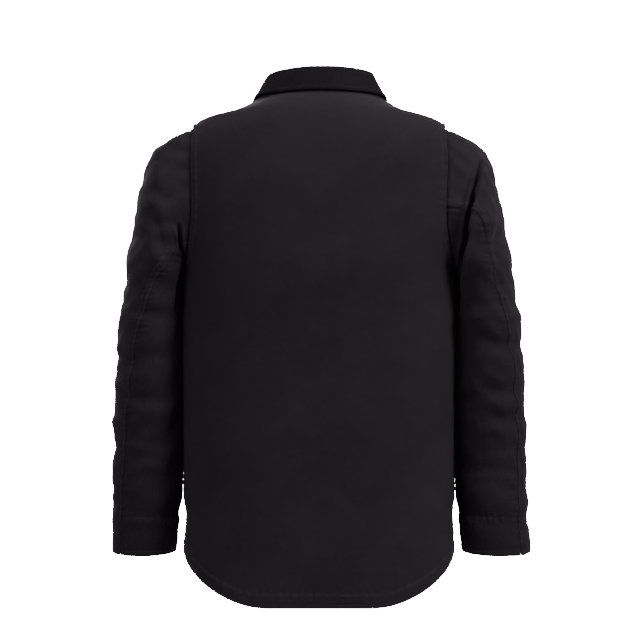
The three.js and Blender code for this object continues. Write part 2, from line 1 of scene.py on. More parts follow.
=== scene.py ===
# Canvas work jacket with a corduroy collar, seen from behind. The cloth pieces are made here
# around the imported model; sizes are millimetres above the tail's lowest point, and to_row()
# moves them into the frame of the model, whose origin is the hanger loop.
import bpy
import math
import numpy as np
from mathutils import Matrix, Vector


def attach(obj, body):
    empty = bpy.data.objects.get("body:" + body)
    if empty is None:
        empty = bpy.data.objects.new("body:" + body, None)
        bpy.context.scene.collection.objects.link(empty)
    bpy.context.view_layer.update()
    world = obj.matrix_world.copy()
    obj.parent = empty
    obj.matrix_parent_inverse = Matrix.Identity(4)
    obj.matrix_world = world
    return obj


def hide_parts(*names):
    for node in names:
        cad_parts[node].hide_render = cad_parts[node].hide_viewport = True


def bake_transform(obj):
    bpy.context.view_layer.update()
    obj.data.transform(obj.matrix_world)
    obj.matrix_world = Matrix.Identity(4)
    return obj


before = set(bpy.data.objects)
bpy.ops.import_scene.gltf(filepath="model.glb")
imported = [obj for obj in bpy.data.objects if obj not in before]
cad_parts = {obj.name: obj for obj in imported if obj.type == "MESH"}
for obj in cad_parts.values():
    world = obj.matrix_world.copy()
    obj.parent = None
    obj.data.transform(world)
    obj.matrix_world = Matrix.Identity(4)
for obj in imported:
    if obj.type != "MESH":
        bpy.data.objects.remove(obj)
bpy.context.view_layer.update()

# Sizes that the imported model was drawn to.
BACK_LENGTH, SHOULDER_DROP, ARMHOLE_DEPTH = 778.0, 62.0, 219.0
SIDE_HEM, TAIL_POWER, FRONT_DIP = 82.0, 1.6, 8.0
HEM_HALF, WAIST_HALF, CHEST_HALF = 201.0, 198.0, 203.0
BLADE_HALF, SHOULDER_HALF, NECK_HALF = 221.0, 188.0, 85.0
HEM_BACK, BLADE_BACK, NECK_BACK = 128.0, 139.0, 80.0
FRONT_HEM, FRONT_NECK, FRONT_NECK_DROP = 130.0, 74.0, 78.0
SLEEVE_DROP, BICEP_DEEP = 632.0, 82.0
CUFF_HALF, CUFF_DEEP, CUFF_MIDDLE = 47.5, 45.0, 262.5
COLLAR_STAND, FRONT_EDGE = 32.0, 7.0
SHOULDER_Z = BACK_LENGTH - SHOULDER_DROP
UNDERARM_Z = SHOULDER_Z - ARMHOLE_DEPTH
FRONT_NECK_Z = BACK_LENGTH - FRONT_NECK_DROP
CUFF_Z = SHOULDER_Z - SLEEVE_DROP
LOOP_Y = NECK_BACK - 12.0
LOOP_Z = BACK_LENGTH + 3.0 + 14.0 - 1.6
CANVAS = 1.5  # thickness of the shell cloth
LINING = 1.0


def to_row(points):
    return (np.asarray(points, float) - (0.0, LOOP_Y, LOOP_Z)) / 1000.0


def mix(a, b, t):
    return a + (b - a) * t


def smooth(a, b, x):
    t = np.clip((np.asarray(x, float) - a) / (b - a), 0.0, 1.0)
    return t * t * (3.0 - 2.0 * t)


def front_line(z):
    return -mix(FRONT_HEM, FRONT_NECK, (z - SIDE_HEM) / (FRONT_NECK_Z - SIDE_HEM))


def chest(share):
    return mix(SIDE_HEM, UNDERARM_Z, share)


def arm(share):
    return mix(UNDERARM_Z, SHOULDER_Z, share)


# Levels of the body from hem to neck: side height, half width, back, fullness, lift, bow.
LEVELS = np.array([
    (SIDE_HEM, HEM_HALF, HEM_BACK, 2.7, 0, 0),
    (chest(0.27), WAIST_HALF, 126, 2.6, 0, 0),
    (chest(0.6), WAIST_HALF + 2, 128, 2.6, 0, 0),
    (chest(0.84), CHEST_HALF - 1.5, 133, 2.5, 0, 0),
    (UNDERARM_Z + 3, CHEST_HALF, 137, 2.5, 0, 0),
    (arm(0.35), BLADE_HALF - 2, BLADE_BACK, 2.5, 0, 0),
    (arm(0.63), BLADE_HALF, BLADE_BACK - 1, 2.5, 6, 0),
    (arm(0.88), BLADE_HALF - 9, 131, 2.45, 20, -3.5),
    (SHOULDER_Z, SHOULDER_HALF, 120, 2.35, 31, -5),
    (SHOULDER_Z + 21, mix(NECK_HALF, SHOULDER_HALF, 0.58), 103, 2.2, 37.5, -9.5),
    (SHOULDER_Z + 42, NECK_HALF, NECK_BACK, 2.1, FRONT_NECK_DROP / 2,
     BACK_LENGTH - FRONT_NECK_DROP / 2 - SHOULDER_Z - 42),
], float)
NECK = len(LEVELS) - 1


def along(keys, place):
    """Catmull-Rom through the rows of keys, at each place along them."""
    place = np.asarray(place, float)
    last = len(keys) - 1
    low = np.clip(np.floor(place).astype(int), 0, last - 1)
    t = (place - low)[..., None]
    a, b, c, d = (keys[np.clip(low + k, 0, last)] for k in (-1, 0, 1, 2))
    return b + 0.5 * t * (c - a + t * (2 * a - 5 * b + 4 * c - d + t * (3 * (b - c) + d - a)))


def hem_height(angle):
    from_back = np.abs((np.asarray(angle, float) - 90 + 180) % 360 - 180)
    tail = SIDE_HEM * smooth(25, 90, from_back) ** TAIL_POWER
    return tail + 3.5 * (1 - smooth(20, 80, from_back)) - FRONT_DIP * smooth(90, 180, from_back)


def body_surface(angle, level):
    """Outer surface of the body; 90 degrees is the centre back and level 0 the hem."""
    angle, level = np.broadcast_arrays(np.asarray(angle, float), np.asarray(level, float))
    side, half, back, full, lift, bow = np.moveaxis(along(LEVELS, level), -1, 0)
    front = front_line(side - lift + bow)
    deep = (back - front) / 2
    c, s = np.cos(np.radians(angle)), np.sin(np.radians(angle))
    reach = (np.abs(c / half) ** full + np.abs(s / deep) ** full) ** (-1 / full)
    eta = reach * s / deep
    lower = 1 - smooth(0, 1, level)
    z = side + lift * eta + bow * eta * eta + lower * (hem_height(angle) - SIDE_HEM)
    hollow = smooth(8, 8.9, level) * (1 - smooth(9.2, 10, level))
    z = z - 11 * hollow * np.sin(math.pi * np.clip(eta, 0, 1))
    aside = 6 * smooth(8.2, 10, level) * smooth(-0.3, 1, s)
    return np.stack([reach * c - aside, (back + front) / 2 + reach * s, z], -1)


def level_at(angle, z):
    """The level at which lines of constant angle reach a height."""
    angle, z = np.broadcast_arrays(np.asarray(angle, float), np.asarray(z, float))
    low, high = np.zeros(angle.shape), np.full(angle.shape, float(NECK))
    for _ in range(26):
        middle = (low + high) / 2
        below = body_surface(angle, middle)[..., 2] < z
        low, high = np.where(below, middle, low), np.where(below, high, middle)
    return low


def front_angle(x, level):
    back = along(LEVELS, level)[..., 2]
    deep = (back - body_surface(-90, level)[..., 1]) / 2
    return -90 + np.degrees(np.arctan(x / deep))


# The plane of the left armhole, and where the body's surface meets it, back and front.
LEAN = (CHEST_HALF + 1.5 - SHOULDER_HALF) / ARMHOLE_DEPTH


SCOOP = ((497, 523, 550, 575, 600, 628, 655, 690, 716), (0, -5, -8, -8.5, -8, -5.5, -2.5, -0.5, 0))


def scoop(z):
    """How far the worn seam line strays from its plane, inwards at the blade."""
    return sum(np.interp(z + step, *SCOOP) for step in (-12, -6, 0, 6, 12)) / 5


def armhole_plane(z):
    return SHOULDER_HALF + (SHOULDER_Z - z) * LEAN


def armhole_x(z):
    return armhole_plane(z) + scoop(z)


def armhole_angle(level, towards):
    """Angle from the side at which each level crosses the armhole; 0 where it doesn't."""
    level = np.asarray(level, float)
    low, high = np.zeros(level.shape), np.full(level.shape, 80.0)
    for _ in range(30):
        middle = (low + high) / 2
        p = body_surface(towards * middle, level)
        out = p[..., 0] > armhole_x(p[..., 2])
        low, high = np.where(out, middle, low), np.where(out, high, middle)
    return low


def armhole_curve(towards):
    level = np.linspace(3.9, 8.3, 260)
    p = body_surface(towards * armhole_angle(level, towards), level)
    order = np.argsort(p[:, 2])
    return p[order, 2], p[order, 1]


ARMHOLE_BACK, ARMHOLE_FRONT = armhole_curve(1), armhole_curve(-1)


# Rings of the left sleeve: inner x and z, outer x and z, half depth, middle.
def fall(share):
    return mix(UNDERARM_Z, CUFF_Z, share)


SIDE_CLEAR = CHEST_HALF + 4
CUFF_IN, CUFF_OUT = CUFF_MIDDLE - CUFF_HALF, CUFF_MIDDLE + CUFF_HALF


def shoulder_to_cuff(share):
    return mix(SHOULDER_HALF, CUFF_OUT, share)


RINGS = np.array([
    (armhole_x(UNDERARM_Z), UNDERARM_Z, SHOULDER_HALF, SHOULDER_Z, 62, 29),
    (SIDE_CLEAR, fall(0.005), SHOULDER_HALF + 40, arm(0.917), 72, 28),
    (SIDE_CLEAR, fall(0.01), SHOULDER_HALF + 62, arm(0.836), 78, 27),
    (SIDE_CLEAR, fall(0.018), SHOULDER_HALF + 76, arm(0.67), 82, 25),
    (SIDE_CLEAR, fall(0.03), shoulder_to_cuff(0.74), arm(0.345), BICEP_DEEP, 22),
    (SIDE_CLEAR, fall(0.055), shoulder_to_cuff(0.83), fall(0), BICEP_DEEP - 4, 18),
    (SIDE_CLEAR - 0.5, fall(0.17), shoulder_to_cuff(0.9), fall(0.14), 72, 13),
    (SIDE_CLEAR - 1, fall(0.28), shoulder_to_cuff(0.94), fall(0.26), 68, 8),
    (SIDE_CLEAR - 1, fall(0.45), shoulder_to_cuff(0.97), fall(0.43), 63, 2),
    (SIDE_CLEAR, fall(0.66), CUFF_OUT - 1, fall(0.65), 56, -6),
    (mix(SIDE_CLEAR, CUFF_IN, 0.35), fall(0.87), CUFF_OUT, fall(0.865), 49, -14),
    (CUFF_IN, CUFF_Z + 2, CUFF_OUT, CUFF_Z, CUFF_DEEP, -20),
], float)
CUFF = len(RINGS) - 1


def sleeve_surface(angle, ring):
    """Outer surface of the left sleeve; 0 degrees is its outer side and 90 its back."""
    angle, ring = np.broadcast_arrays(np.asarray(angle, float), np.asarray(ring, float))
    ix, iz, ox, oz, deep, middle = np.moveaxis(along(RINGS, ring), -1, 0)
    c, s = np.cos(np.radians(angle)), np.sin(np.radians(angle))
    share = (1 + c) / 2
    x, z = mix(ix, ox, share), mix(iz, oz, share)
    y = middle + deep * s
    # At the armhole the ring is the armhole's own outline.
    seam_z = mix(UNDERARM_Z, SHOULDER_Z, share)
    seam_y = np.where(s > 0, np.interp(seam_z, *ARMHOLE_BACK), np.interp(seam_z, *ARMHOLE_FRONT))
    own = 1 - smooth(0.0, 2.4, ring)
    x = x + scoop(seam_z) * (1 - smooth(0.0, 1.8, ring))
    z = z - 7.5 * s * smooth(8, 11, ring)
    return np.stack([x, mix(y, seam_y, own), z], -1)


def sideways(amount):
    """A move along x alone."""
    return np.stack([amount, 0 * amount, 0 * amount], -1)


def worn_sleeve(angle, ring, name):
    """One sleeve as it hangs: the right one stands a little wider, and widest at its cuff."""
    points = sleeve_surface(angle, ring)
    outer = (1 + np.cos(np.radians(angle))) / 2
    if name == "right":
        wider = 2.5 * smooth(3, 6, ring) + 5.0 * smooth(9.6, 11, ring)
        points = points + sideways(wider * outer)
    touching = np.exp(-(((angle % 360) - 180) / 32.0) ** 2)
    z = points[..., 2]
    near = smooth(142, 168, z) * (1.6 + 2.4 * smooth(330, 240, z)) * smooth(540, 505, z)
    return points - sideways(near * touching)


BACK_SEAMS = {
    "left": ((0, 2, 4, 6, 8, 9.5, 11), (128, 124, 114, 72, 56, 46, 42)),
    "right": ((0, 2, 4.3, 5.6, 6.6, 8, 9.5, 11), (95, 86, 74, 66, 55, 43, 44, 47)),
}


def back_seam(ring, name):
    return sum(np.interp(ring + step, *BACK_SEAMS[name]) for step in (-0.8, -0.4, 0, 0.4, 0.8)) / 5


def front_seam(ring):
    return mix(-112.0, -104.0, np.asarray(ring, float) / CUFF)


# Shaping helpers: the distance to a line drawn over the surface, and folds along it.
def line_distance(x, z, line):
    """Distance of points (x, z) to a polyline, and how far along it the nearest place is."""
    line = np.asarray(line, float)
    best = np.full(x.shape, 1e9)
    side = np.zeros(x.shape)
    place = np.zeros(x.shape)
    for k in range(len(line) - 1):
        a, b = line[k], line[k + 1]
        d = b - a
        t = np.clip(((x - a[0]) * d[0] + (z - a[1]) * d[1]) / (d @ d), 0, 1)
        dx, dz = x - a[0] - t * d[0], z - a[1] - t * d[1]
        distance = np.hypot(dx, dz)
        nearer = distance < best
        best = np.where(nearer, distance, best)
        side = np.where(nearer, np.sign(dx * d[1] - dz * d[0]), side)
        place = np.where(nearer, (k + t) / (len(line) - 1), place)
    return best, side, place


def fold(x, z, line, width, depth, lip=0.35, step=0.0):
    """A valley along a line, with a low lip at each side, fading out at both ends."""
    distance, side, place = line_distance(x, z, line)
    fade = np.sqrt(np.clip(4 * place * (1 - place), 0, 1))
    valley = np.exp(-(distance / width) ** 2)
    ridge = np.exp(-((distance - 2.1 * width) / (1.2 * width)) ** 2)
    raised = step * (side < 0) * smooth(0, 2.5, distance) * np.exp(-(distance / 24.0) ** 2)
    return fade * (depth * (lip * ridge - valley) + raised)


def waves(a, b, seed, count, size, slant=0.0, spread=0.5):
    """Soft uneven folds: a sum of slanted waves of about one size in millimetres."""
    rng = np.random.default_rng(seed)
    total = np.zeros(np.broadcast(a, b).shape)
    for _ in range(count):
        turn = slant + rng.uniform(-spread, spread)
        length = size * rng.uniform(0.7, 1.6)
        phase = rng.uniform(0, 2 * math.pi)
        bend = rng.uniform(-0.3, 0.3)
        along_it = a * math.cos(turn) + b * math.sin(turn)
        total += np.sin(2 * math.pi * along_it / length + phase + bend * np.sin(b / size))
    return total / math.sqrt(count)


# Meshes.
def normals_of(points, wrap):
    if wrap:
        du = np.roll(points, -1, 1) - np.roll(points, 1, 1)
    else:
        du = np.gradient(points, axis=1)
    dv = np.gradient(points, axis=0)
    n = np.cross(du, dv)
    return n / np.maximum(np.linalg.norm(n, axis=-1, keepdims=True), 1e-9)


def make_mesh(name, vertices, faces, uv=None, look=None, smooth_shade=True):
    mesh = bpy.data.meshes.new(name)
    mesh.from_pydata([tuple(v) for v in vertices], [], [tuple(f) for f in faces])
    if uv is not None:
        layer = mesh.uv_layers.new(name="cloth")
        loops = np.empty(len(mesh.loops), int)
        mesh.loops.foreach_get("vertex_index", loops)
        layer.data.foreach_set("uv", np.asarray(uv)[loops].astype(np.float32).ravel())
    mesh.polygons.foreach_set("use_smooth", [smooth_shade] * len(mesh.polygons))
    mesh.update()
    piece = bpy.data.objects.new(name, mesh)
    bpy.context.scene.collection.objects.link(piece)
    if look is not None:
        mesh.materials.append(look)
    return piece


# What each piece of cloth was cut to, in metres: width, length, how it is held, and the cut's
# area where it isn't a rectangle.
CUTS = {
    "back_hem_turn": (0.56, 0.020, "folded"),
    "chest_flap_cloth": (0.098, 0.062, "hung"),
    "chest_pocket_cloth": (0.092, 0.124, "laid"),
    "collar_leaf_cloth": (0.60, 0.075, "folded", 0.036),
    "collar_stand_cloth": (0.54, 0.036, "hung"),
    "cuff_facing": (0.285, 0.050, "folded"),
    "facing_front": (0.055, 0.63, "hung"),
    "hand_pocket_cloth": (0.112, 0.170, "laid"),
    "hanger_loop_cloth": (0.066, 0.010, "folded"),
    "hem_turn_front": (0.205, 0.020, "folded"),
    "inner_pocket_cloth": (0.076, 0.134, "laid"),
    "lining_back": (0.58, 0.70, "hung", 0.32),
    "lining_front": (0.21, 0.68, "hung", 0.112),
    "neck_facing": (0.26, 0.060, "hung"),
    "shell_back": (0.60, 0.79, "hung", 0.38),
    "shell_front": (0.28, 0.72, "hung", 0.158),
    "size_label_cloth": (0.028, 0.028, "laid"),
    "sleeve_lining": (0.45, 0.60, "hung", 0.155),
    "top_sleeve": (0.30, 0.64, "hung", 0.122),
    "under_sleeve": (0.26, 0.58, "hung", 0.092),
    "wind_flap": (0.054, 0.585, "hung"),
    "zip_tape": (0.020, 0.600, "hung"),
}


def declare(piece):
    for key, (width, length, held, *area) in CUTS.items():
        if piece.name.startswith(key):
            return
    raise ValueError(f"{piece.name} has no cut size")


def hang(piece, body):
    """A piece rides on its body; a piece on a sleeve only has its transform baked into its mesh."""
    if not body.endswith("_sleeve"):
        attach(piece, body)
        return
    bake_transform(piece)


def cloth(name, points, thickness, look, body="torso", node=None, wrap=False, inward=1, wear=None):
    """A sheet of cloth with a rounded rim, from a grid of its outer points in millimetres."""
    rows, columns = points.shape[:2]
    n = normals_of(points, wrap) * inward
    outer, inner = points, points - n * thickness
    step_u = np.linalg.norm(np.diff(points, axis=1), axis=-1)
    step_v = np.linalg.norm(np.diff(points, axis=0), axis=-1)
    u = np.concatenate([np.zeros((rows, 1)), np.cumsum(step_u, 1)], 1)
    u -= u[:, columns // 2][:, None]
    v = np.concatenate([np.zeros((1, columns)), np.cumsum(step_v, 0)], 0)
    uv = (np.stack([u, v], -1) / 1000.0).reshape(-1, 2)
    vertices = np.concatenate([outer.reshape(-1, 3), inner.reshape(-1, 3)])
    coords = np.concatenate([uv, uv])
    count = rows * columns
    index = np.arange(count).reshape(rows, columns)
    if wrap:
        index = np.concatenate([index, index[:, :1]], 1)
    a, b, c, d = index[:-1, :-1], index[:-1, 1:], index[1:, 1:], index[1:, :-1]
    front = np.stack([a, b, c, d], -1).reshape(-1, 4)
    back = np.stack([a, d, c, b], -1).reshape(-1, 4) + count
    if inward < 0:
        front, back = front[:, ::-1], back[:, ::-1]
    faces = [front, back]
    edges = [(index[0], 1), (index[-1], -1)]
    if not wrap:
        edges += [(index[:, 0], -1), (index[:, -1], 1)]
    for edge, turn in edges:
        # The rim bulges a little beyond the edge, so that it is round and not sharp.
        middle = (vertices[edge] + vertices[edge + count]) / 2
        across = vertices[edge] - vertices[edge + count]
        along_it = np.gradient(vertices[edge], axis=0)
        out = np.cross(along_it, across) * turn * inward
        out /= np.maximum(np.linalg.norm(out, axis=-1, keepdims=True), 1e-9)
        start = len(vertices)
        vertices = np.concatenate([vertices, middle + out * thickness * 0.4])
        coords = np.concatenate([coords, coords[edge]])
        rim = np.arange(start, start + len(edge))
        for low, high in ((edge, rim), (rim, edge + count)):
            strip = np.stack([low[:-1], high[:-1], high[1:], low[1:]], -1)
            faces.append(strip if turn * inward > 0 else strip[:, ::-1])
    piece = make_mesh(name, to_row(vertices), np.concatenate(faces), coords, look)
    rubbed = np.zeros(len(vertices), np.float32)
    if wear is not None:
        rubbed[:count] = np.clip(np.broadcast_to(wear, (rows, columns)), 0, 1).ravel()
    piece.data.attributes.new("wear", "FLOAT", "POINT").data.foreach_set("value", rubbed)
    declare(piece)
    if body:
        hang(piece, body)
    if node:
        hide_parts(node)
    return piece


# Materials. Each is built from nodes on the cloth's own coordinates, which are in metres.
class Nodes:
    def __init__(self, name):
        self.material = bpy.data.materials.new(name)
        self.material.use_nodes = True
        self.tree = self.material.node_tree
        self.shader = self.tree.nodes["Principled BSDF"]

    def add(self, kind, inputs=None, **settings):
        node = self.tree.nodes.new(kind)
        for key, value in settings.items():
            setattr(node, key, value)
        for key, value in (inputs or {}).items():
            if isinstance(value, bpy.types.NodeSocket):
                self.tree.links.new(value, node.inputs[key])
            else:
                node.inputs[key].default_value = value
        return node

    def math(self, operation, a, b=0.0):
        return self.add("ShaderNodeMath", {0: a, 1: b}, operation=operation).outputs[0]

    def coords(self):
        return self.add("ShaderNodeTexCoord").outputs["UV"]

    def place(self):
        return self.add("ShaderNodeTexCoord").outputs["Object"]

    def noise(self, vector, scale, detail=3.0, rough=0.55):
        inputs = {"Vector": vector, "Scale": scale, "Detail": detail, "Roughness": rough}
        return self.add("ShaderNodeTexNoise", inputs).outputs["Fac"]

    def ramp(self, fac, stops):
        node = self.add("ShaderNodeValToRGB", {"Fac": fac})
        ramp = node.color_ramp
        while len(ramp.elements) < len(stops):
            ramp.elements.new(0.5)
        for element, (place, value) in zip(ramp.elements, stops):
            element.position = place
            element.color = (value, value, value, 1) if isinstance(value, float) else (*value, 1)
        return node.outputs["Color"]

    def mix(self, fac, a, b):
        node = self.add("ShaderNodeMix", data_type="RGBA")
        for socket, value in ((0, fac), (6, a), (7, b)):
            if isinstance(value, bpy.types.NodeSocket):
                self.tree.links.new(value, node.inputs[socket])
            else:
                node.inputs[socket].default_value = value if socket == 0 else (*value, 1)
        return node.outputs[2]

    def bump(self, height, distance, strength=1.0, under=None):
        inputs = {"Height": height, "Distance": distance, "Strength": strength}
        node = self.add("ShaderNodeBump", inputs)
        if under is not None:
            self.tree.links.new(under, node.inputs["Normal"])
        return node.outputs["Normal"]

    def set(self, **sockets):
        names = {"color": "Base Color", "rough": "Roughness", "normal": "Normal", "metal": "Metallic",
                 "sheen": "Sheen Weight", "sheen_rough": "Sheen Roughness", "sheen_tint": "Sheen Tint",
                 "specular": "Specular IOR Level"}
        for key, value in sockets.items():
            socket = self.shader.inputs[names[key]]
            if isinstance(value, bpy.types.NodeSocket):
                self.tree.links.new(value, socket)
            else:
                socket.default_value = (*value, 1) if isinstance(value, tuple) else value
        return self.material


def weave_height(n, uv, pitch, plies=1.0):
    """A plain weave: threads over and under one another, pitch metres apart."""
    split = n.add("ShaderNodeSeparateXYZ", {0: uv}).outputs
    turn = math.pi / pitch
    u, v = n.math("MULTIPLY", split[0], turn), n.math("MULTIPLY", split[1], turn * plies)
    over = n.math("MULTIPLY", n.math("SINE", u), n.math("SINE", v))
    rows = n.math("ABSOLUTE", n.math("COSINE", v))
    columns = n.math("ABSOLUTE", n.math("COSINE", u))
    high = n.math("MULTIPLY", n.math("MAXIMUM", over, 0.0), columns)
    low = n.math("MULTIPLY", n.math("MAXIMUM", n.math("MULTIPLY", over, -1.0), 0.0), rows)
    return n.math("ADD", high, low)


def cloth_look(name, dark, light, pitch, sheen, wear=(0.024, 0.021, 0.023), fuzz=0.00035, gloss=0.12):
    """Woven cotton: threads of uneven colour with painted shade in the gaps of the weave, faded where it
    rubs, with a soft sheen.
    """
    n = Nodes(name)
    uv, place = n.coords(), n.place()
    stretched = n.add("ShaderNodeMapping", {"Vector": uv, "Scale": (1.0, 0.18, 1.0)}).outputs[0]
    threads = n.noise(stretched, 900.0, 2.0)
    clouds = n.noise(place, 9.0, 4.0, 0.6)
    blotch = n.noise(place, 38.0, 3.0)
    weave = weave_height(n, uv, pitch)
    base = n.mix(n.ramp(clouds, [(0.35, 0.0), (0.7, 1.0)]), dark, light)
    speck = n.math("MULTIPLY", n.ramp(threads, [(0.45, 0.0), (0.75, 1.0)]), 0.35)
    base = n.mix(speck, base, tuple(1.5 * c for c in light))
    # Painted shade: the colour is darkened in the gaps between the threads of the weave, as well as bumped
    # there.
    painted_gap_shade = n.math("ADD", n.math("MULTIPLY", weave, 0.45), 0.62)
    gap_shaded = n.add("ShaderNodeMix", {0: 1.0}, data_type="RGBA", blend_type="MULTIPLY")
    n.tree.links.new(base, gap_shaded.inputs[6])
    n.tree.links.new(painted_gap_shade, gap_shaded.inputs[7])
    edge = n.add("ShaderNodeAttribute", attribute_name="wear").outputs["Fac"]
    rubbed = n.math("MULTIPLY", edge, n.ramp(n.noise(place, 160.0, 3.0), [(0.35, 0.15), (0.62, 1.0)]))
    color = n.mix(n.math("MULTIPLY", rubbed, 0.6), gap_shaded.outputs[2], wear)
    fibre = n.noise(uv, 2600.0, 2.0)
    rough = n.math("ADD", n.math("MULTIPLY", blotch, 0.12), 0.82)
    normal = n.bump(weave, pitch * 0.35, 0.55)
    normal = n.bump(fibre, fuzz, 0.25, normal)
    return n.set(color=color, rough=rough, normal=normal, sheen=sheen, sheen_rough=0.55,
                 sheen_tint=(0.85, 0.80, 0.88), specular=gloss)


def metal_look(name, color, worn, rough):
    n = Nodes(name)
    place = n.place()
    rub = n.noise(place, 220.0, 4.0)
    drawn = n.add("ShaderNodeMapping", {"Vector": place, "Scale": (1.0, 1.0, 14.0)}).outputs[0]
    scratch = n.noise(drawn, 700.0)
    edge = n.ramp(n.add("ShaderNodeNewGeometry").outputs["Pointiness"], [(0.5, 0.0), (0.6, 1.0)])
    fac = n.math("MULTIPLY", edge, n.ramp(rub, [(0.35, 0.0), (0.65, 1.0)]))
    tone = n.mix(n.ramp(rub, [(0.3, 0.0), (0.8, 1.0)]), color, tuple(0.7 * c for c in color))
    rough_out = n.math("ADD", n.math("MULTIPLY", scratch, 0.22), rough)
    return n.set(color=n.mix(fac, tone, worn), rough=rough_out, metal=1.0,
                 normal=n.bump(scratch, 0.00004, 0.3))


CANVAS_LOOK = cloth_look("canvas", (0.0084, 0.0058, 0.0078), (0.0125, 0.0088, 0.0116), 0.0009, 0.02)
INSIDE_LOOK = cloth_look("canvas_inside", (0.0050, 0.0040, 0.0046), (0.0082, 0.0066, 0.0074), 0.0009, 0.03)
CORDUROY_LOOK = cloth_look("corduroy", (0.0046, 0.0038, 0.0050), (0.0080, 0.0068, 0.0086), 0.0011, 0.015,
                           (0.012, 0.011, 0.014), 0.0008, 0.05)
LINING_LOOK = cloth_look("lining", (0.030, 0.030, 0.034), (0.048, 0.048, 0.054), 0.0006, 0.12)
TAPE_LOOK = cloth_look("tape", (0.008, 0.008, 0.009), (0.014, 0.014, 0.016), 0.0008, 0.08)
THREAD_LOOK = cloth_look("thread", (0.008, 0.007, 0.008), (0.014, 0.012, 0.013), 0.0005, 0.05)
LABEL_LOOK = cloth_look("label", (0.20, 0.19, 0.175), (0.30, 0.29, 0.27), 0.0004, 0.3)
ZIP_LOOK = metal_look("zip_metal", (0.30, 0.25, 0.17), (0.62, 0.52, 0.36), 0.28)
SNAP_LOOK = metal_look("snap_metal", (0.075, 0.07, 0.066), (0.35, 0.33, 0.31), 0.32)


# Camera and light: a plain studio, with the camera behind the jacket as for a catalogue.
FRAME_WIDTH = 0.96  # metres across the picture, at the jacket
DISTANCE = 10.0  # metres from the camera to the jacket


def add_camera():
    centre = to_row((-1.5, 0.0, 431.0))
    data = bpy.data.cameras.new("camera")
    data.sensor_width = 36.0
    data.lens = data.sensor_width * DISTANCE / FRAME_WIDTH
    camera = bpy.data.objects.new("camera", data)
    camera.location = centre + np.array([0, DISTANCE, 0])
    camera.rotation_euler = (math.pi / 2, 0, math.pi)
    bpy.context.scene.collection.objects.link(camera)
    bpy.context.scene.camera = camera


def add_area(name, place, target, size, power):
    data = bpy.data.lights.new(name, "AREA")
    data.shape, data.size, data.energy = "DISK", size, power
    light = bpy.data.objects.new(name, data)
    light.location = place
    light.rotation_euler = (Vector(target) - Vector(place)).to_track_quat("-Z", "Y").to_euler()
    bpy.context.scene.collection.objects.link(light)


def add_studio():
    world = bpy.data.worlds.new("studio")
    bpy.context.scene.world = world
    world.use_nodes = True
    background = world.node_tree.nodes["Background"]
    background.inputs["Color"].default_value = (1, 1, 1, 1)
    background.inputs["Strength"].default_value = 0.5
    middle = to_row((0, 0, 420))
    for name, place, size, power in (
        ("key", (-2.7, 1.9, 1.6), 1.4, 175),
        ("fill", (2.2, 2.4, 0.5), 2.0, 52),
        ("top", (0.0, 0.5, 2.6), 1.6, 75),
        ("front", (0.6, -3.0, 0.9), 2.4, 110),
    ):
        add_area(name, tuple(middle + np.array(place)), tuple(middle), size, power)
    # A bright dome that only the camera sees keeps the picture's ground plain white.
    bpy.ops.mesh.primitive_uv_sphere_add(segments=48, ring_count=24, radius=45.0)
    dome = bpy.context.object
    dome.name = "dome"
    n = Nodes("dome")
    glow = n.add("ShaderNodeEmission", {"Color": (1, 1, 1, 1), "Strength": 40.0}).outputs[0]
    n.tree.links.new(glow, n.tree.nodes["Material Output"].inputs["Surface"])
    dome.data.materials.append(n.material)
    dome.visible_diffuse = dome.visible_glossy = dome.visible_transmission = dome.visible_shadow = False


add_camera()
add_studio()


# Shape of the cloth as worn: what each surface adds to its plain form, in millimetres along
# its normal. Seams stand up where layers meet, and pucker along their stitching.
SEAM_STEP = 1.5


def pucker(distance, along_it, seed, reach=9.0, depth=0.55):
    """Small uneven dimples that a line of stitches pulls into the cloth beside it."""
    rough = waves(along_it, distance, seed, 5, 11.0, 0.0, 0.35)
    return depth * rough * np.exp(-(distance / reach) ** 2)


def felled(distance, width=8.0, height=SEAM_STEP):
    """A felled seam: a raised flat band, distance millimetres from its edge, on one side."""
    return height * smooth(-0.6, 0.4, distance) * (1 - smooth(width - 0.6, width + 0.9, distance))


def push(points, amount, wrap=False):
    return points + normals_of(points, wrap) * np.asarray(amount)[..., None]


def body_relief(points, angle, seed):
    """Slack in the body: long soft falls from the blades, and shallow sags over the hem."""
    x, z = points[..., 0], points[..., 2]
    falls = waves(x, z * 0.16, seed, 7, 120.0, 0.0, 0.25)
    sags = waves(z, x * 0.35, seed + 1, 6, 150.0, 0.3, 0.5)
    drag = waves(x * 0.8 + z * 0.5, z, seed + 2, 6, 64.0, 0.2, 0.6)
    amount = 1.3 * falls * smooth(700, 560, z) + 0.9 * sags + 0.45 * drag
    from_side = np.minimum(np.abs((angle + 180) % 360 - 180), np.abs(angle % 360 - 180))
    side = np.exp(-(from_side / 15.0) ** 2) * smooth(138, 170, z) * smooth(522, 500, z)
    amount = amount * smooth(0, 60, z - hem_height(angle) + 18) * smooth(760, 690, z)
    return amount * (1 - 0.9 * side) + 4.0 * side


def run_length(path):
    """How far along a line of points each of them lies."""
    return np.concatenate([[0], np.cumsum(np.linalg.norm(np.diff(path, axis=0), axis=1))])


def spaced_levels(low, high, rows, angle=90):
    """Levels that are evenly far apart on the cloth at one angle."""
    fine = np.linspace(low, high, 900)
    length = run_length(body_surface(angle, fine))
    return np.interp(np.linspace(0, length[-1], rows), length, fine)


# Sections of one stitch: share of its length, lift off the cloth, and share of its radius.
STITCH = ((0.02, -0.35, 0.5), (0.25, 0.1, 1.0), (0.5, 0.18, 1.1), (0.75, 0.1, 1.0), (0.98, -0.35, 0.5))
CORNERS = 6


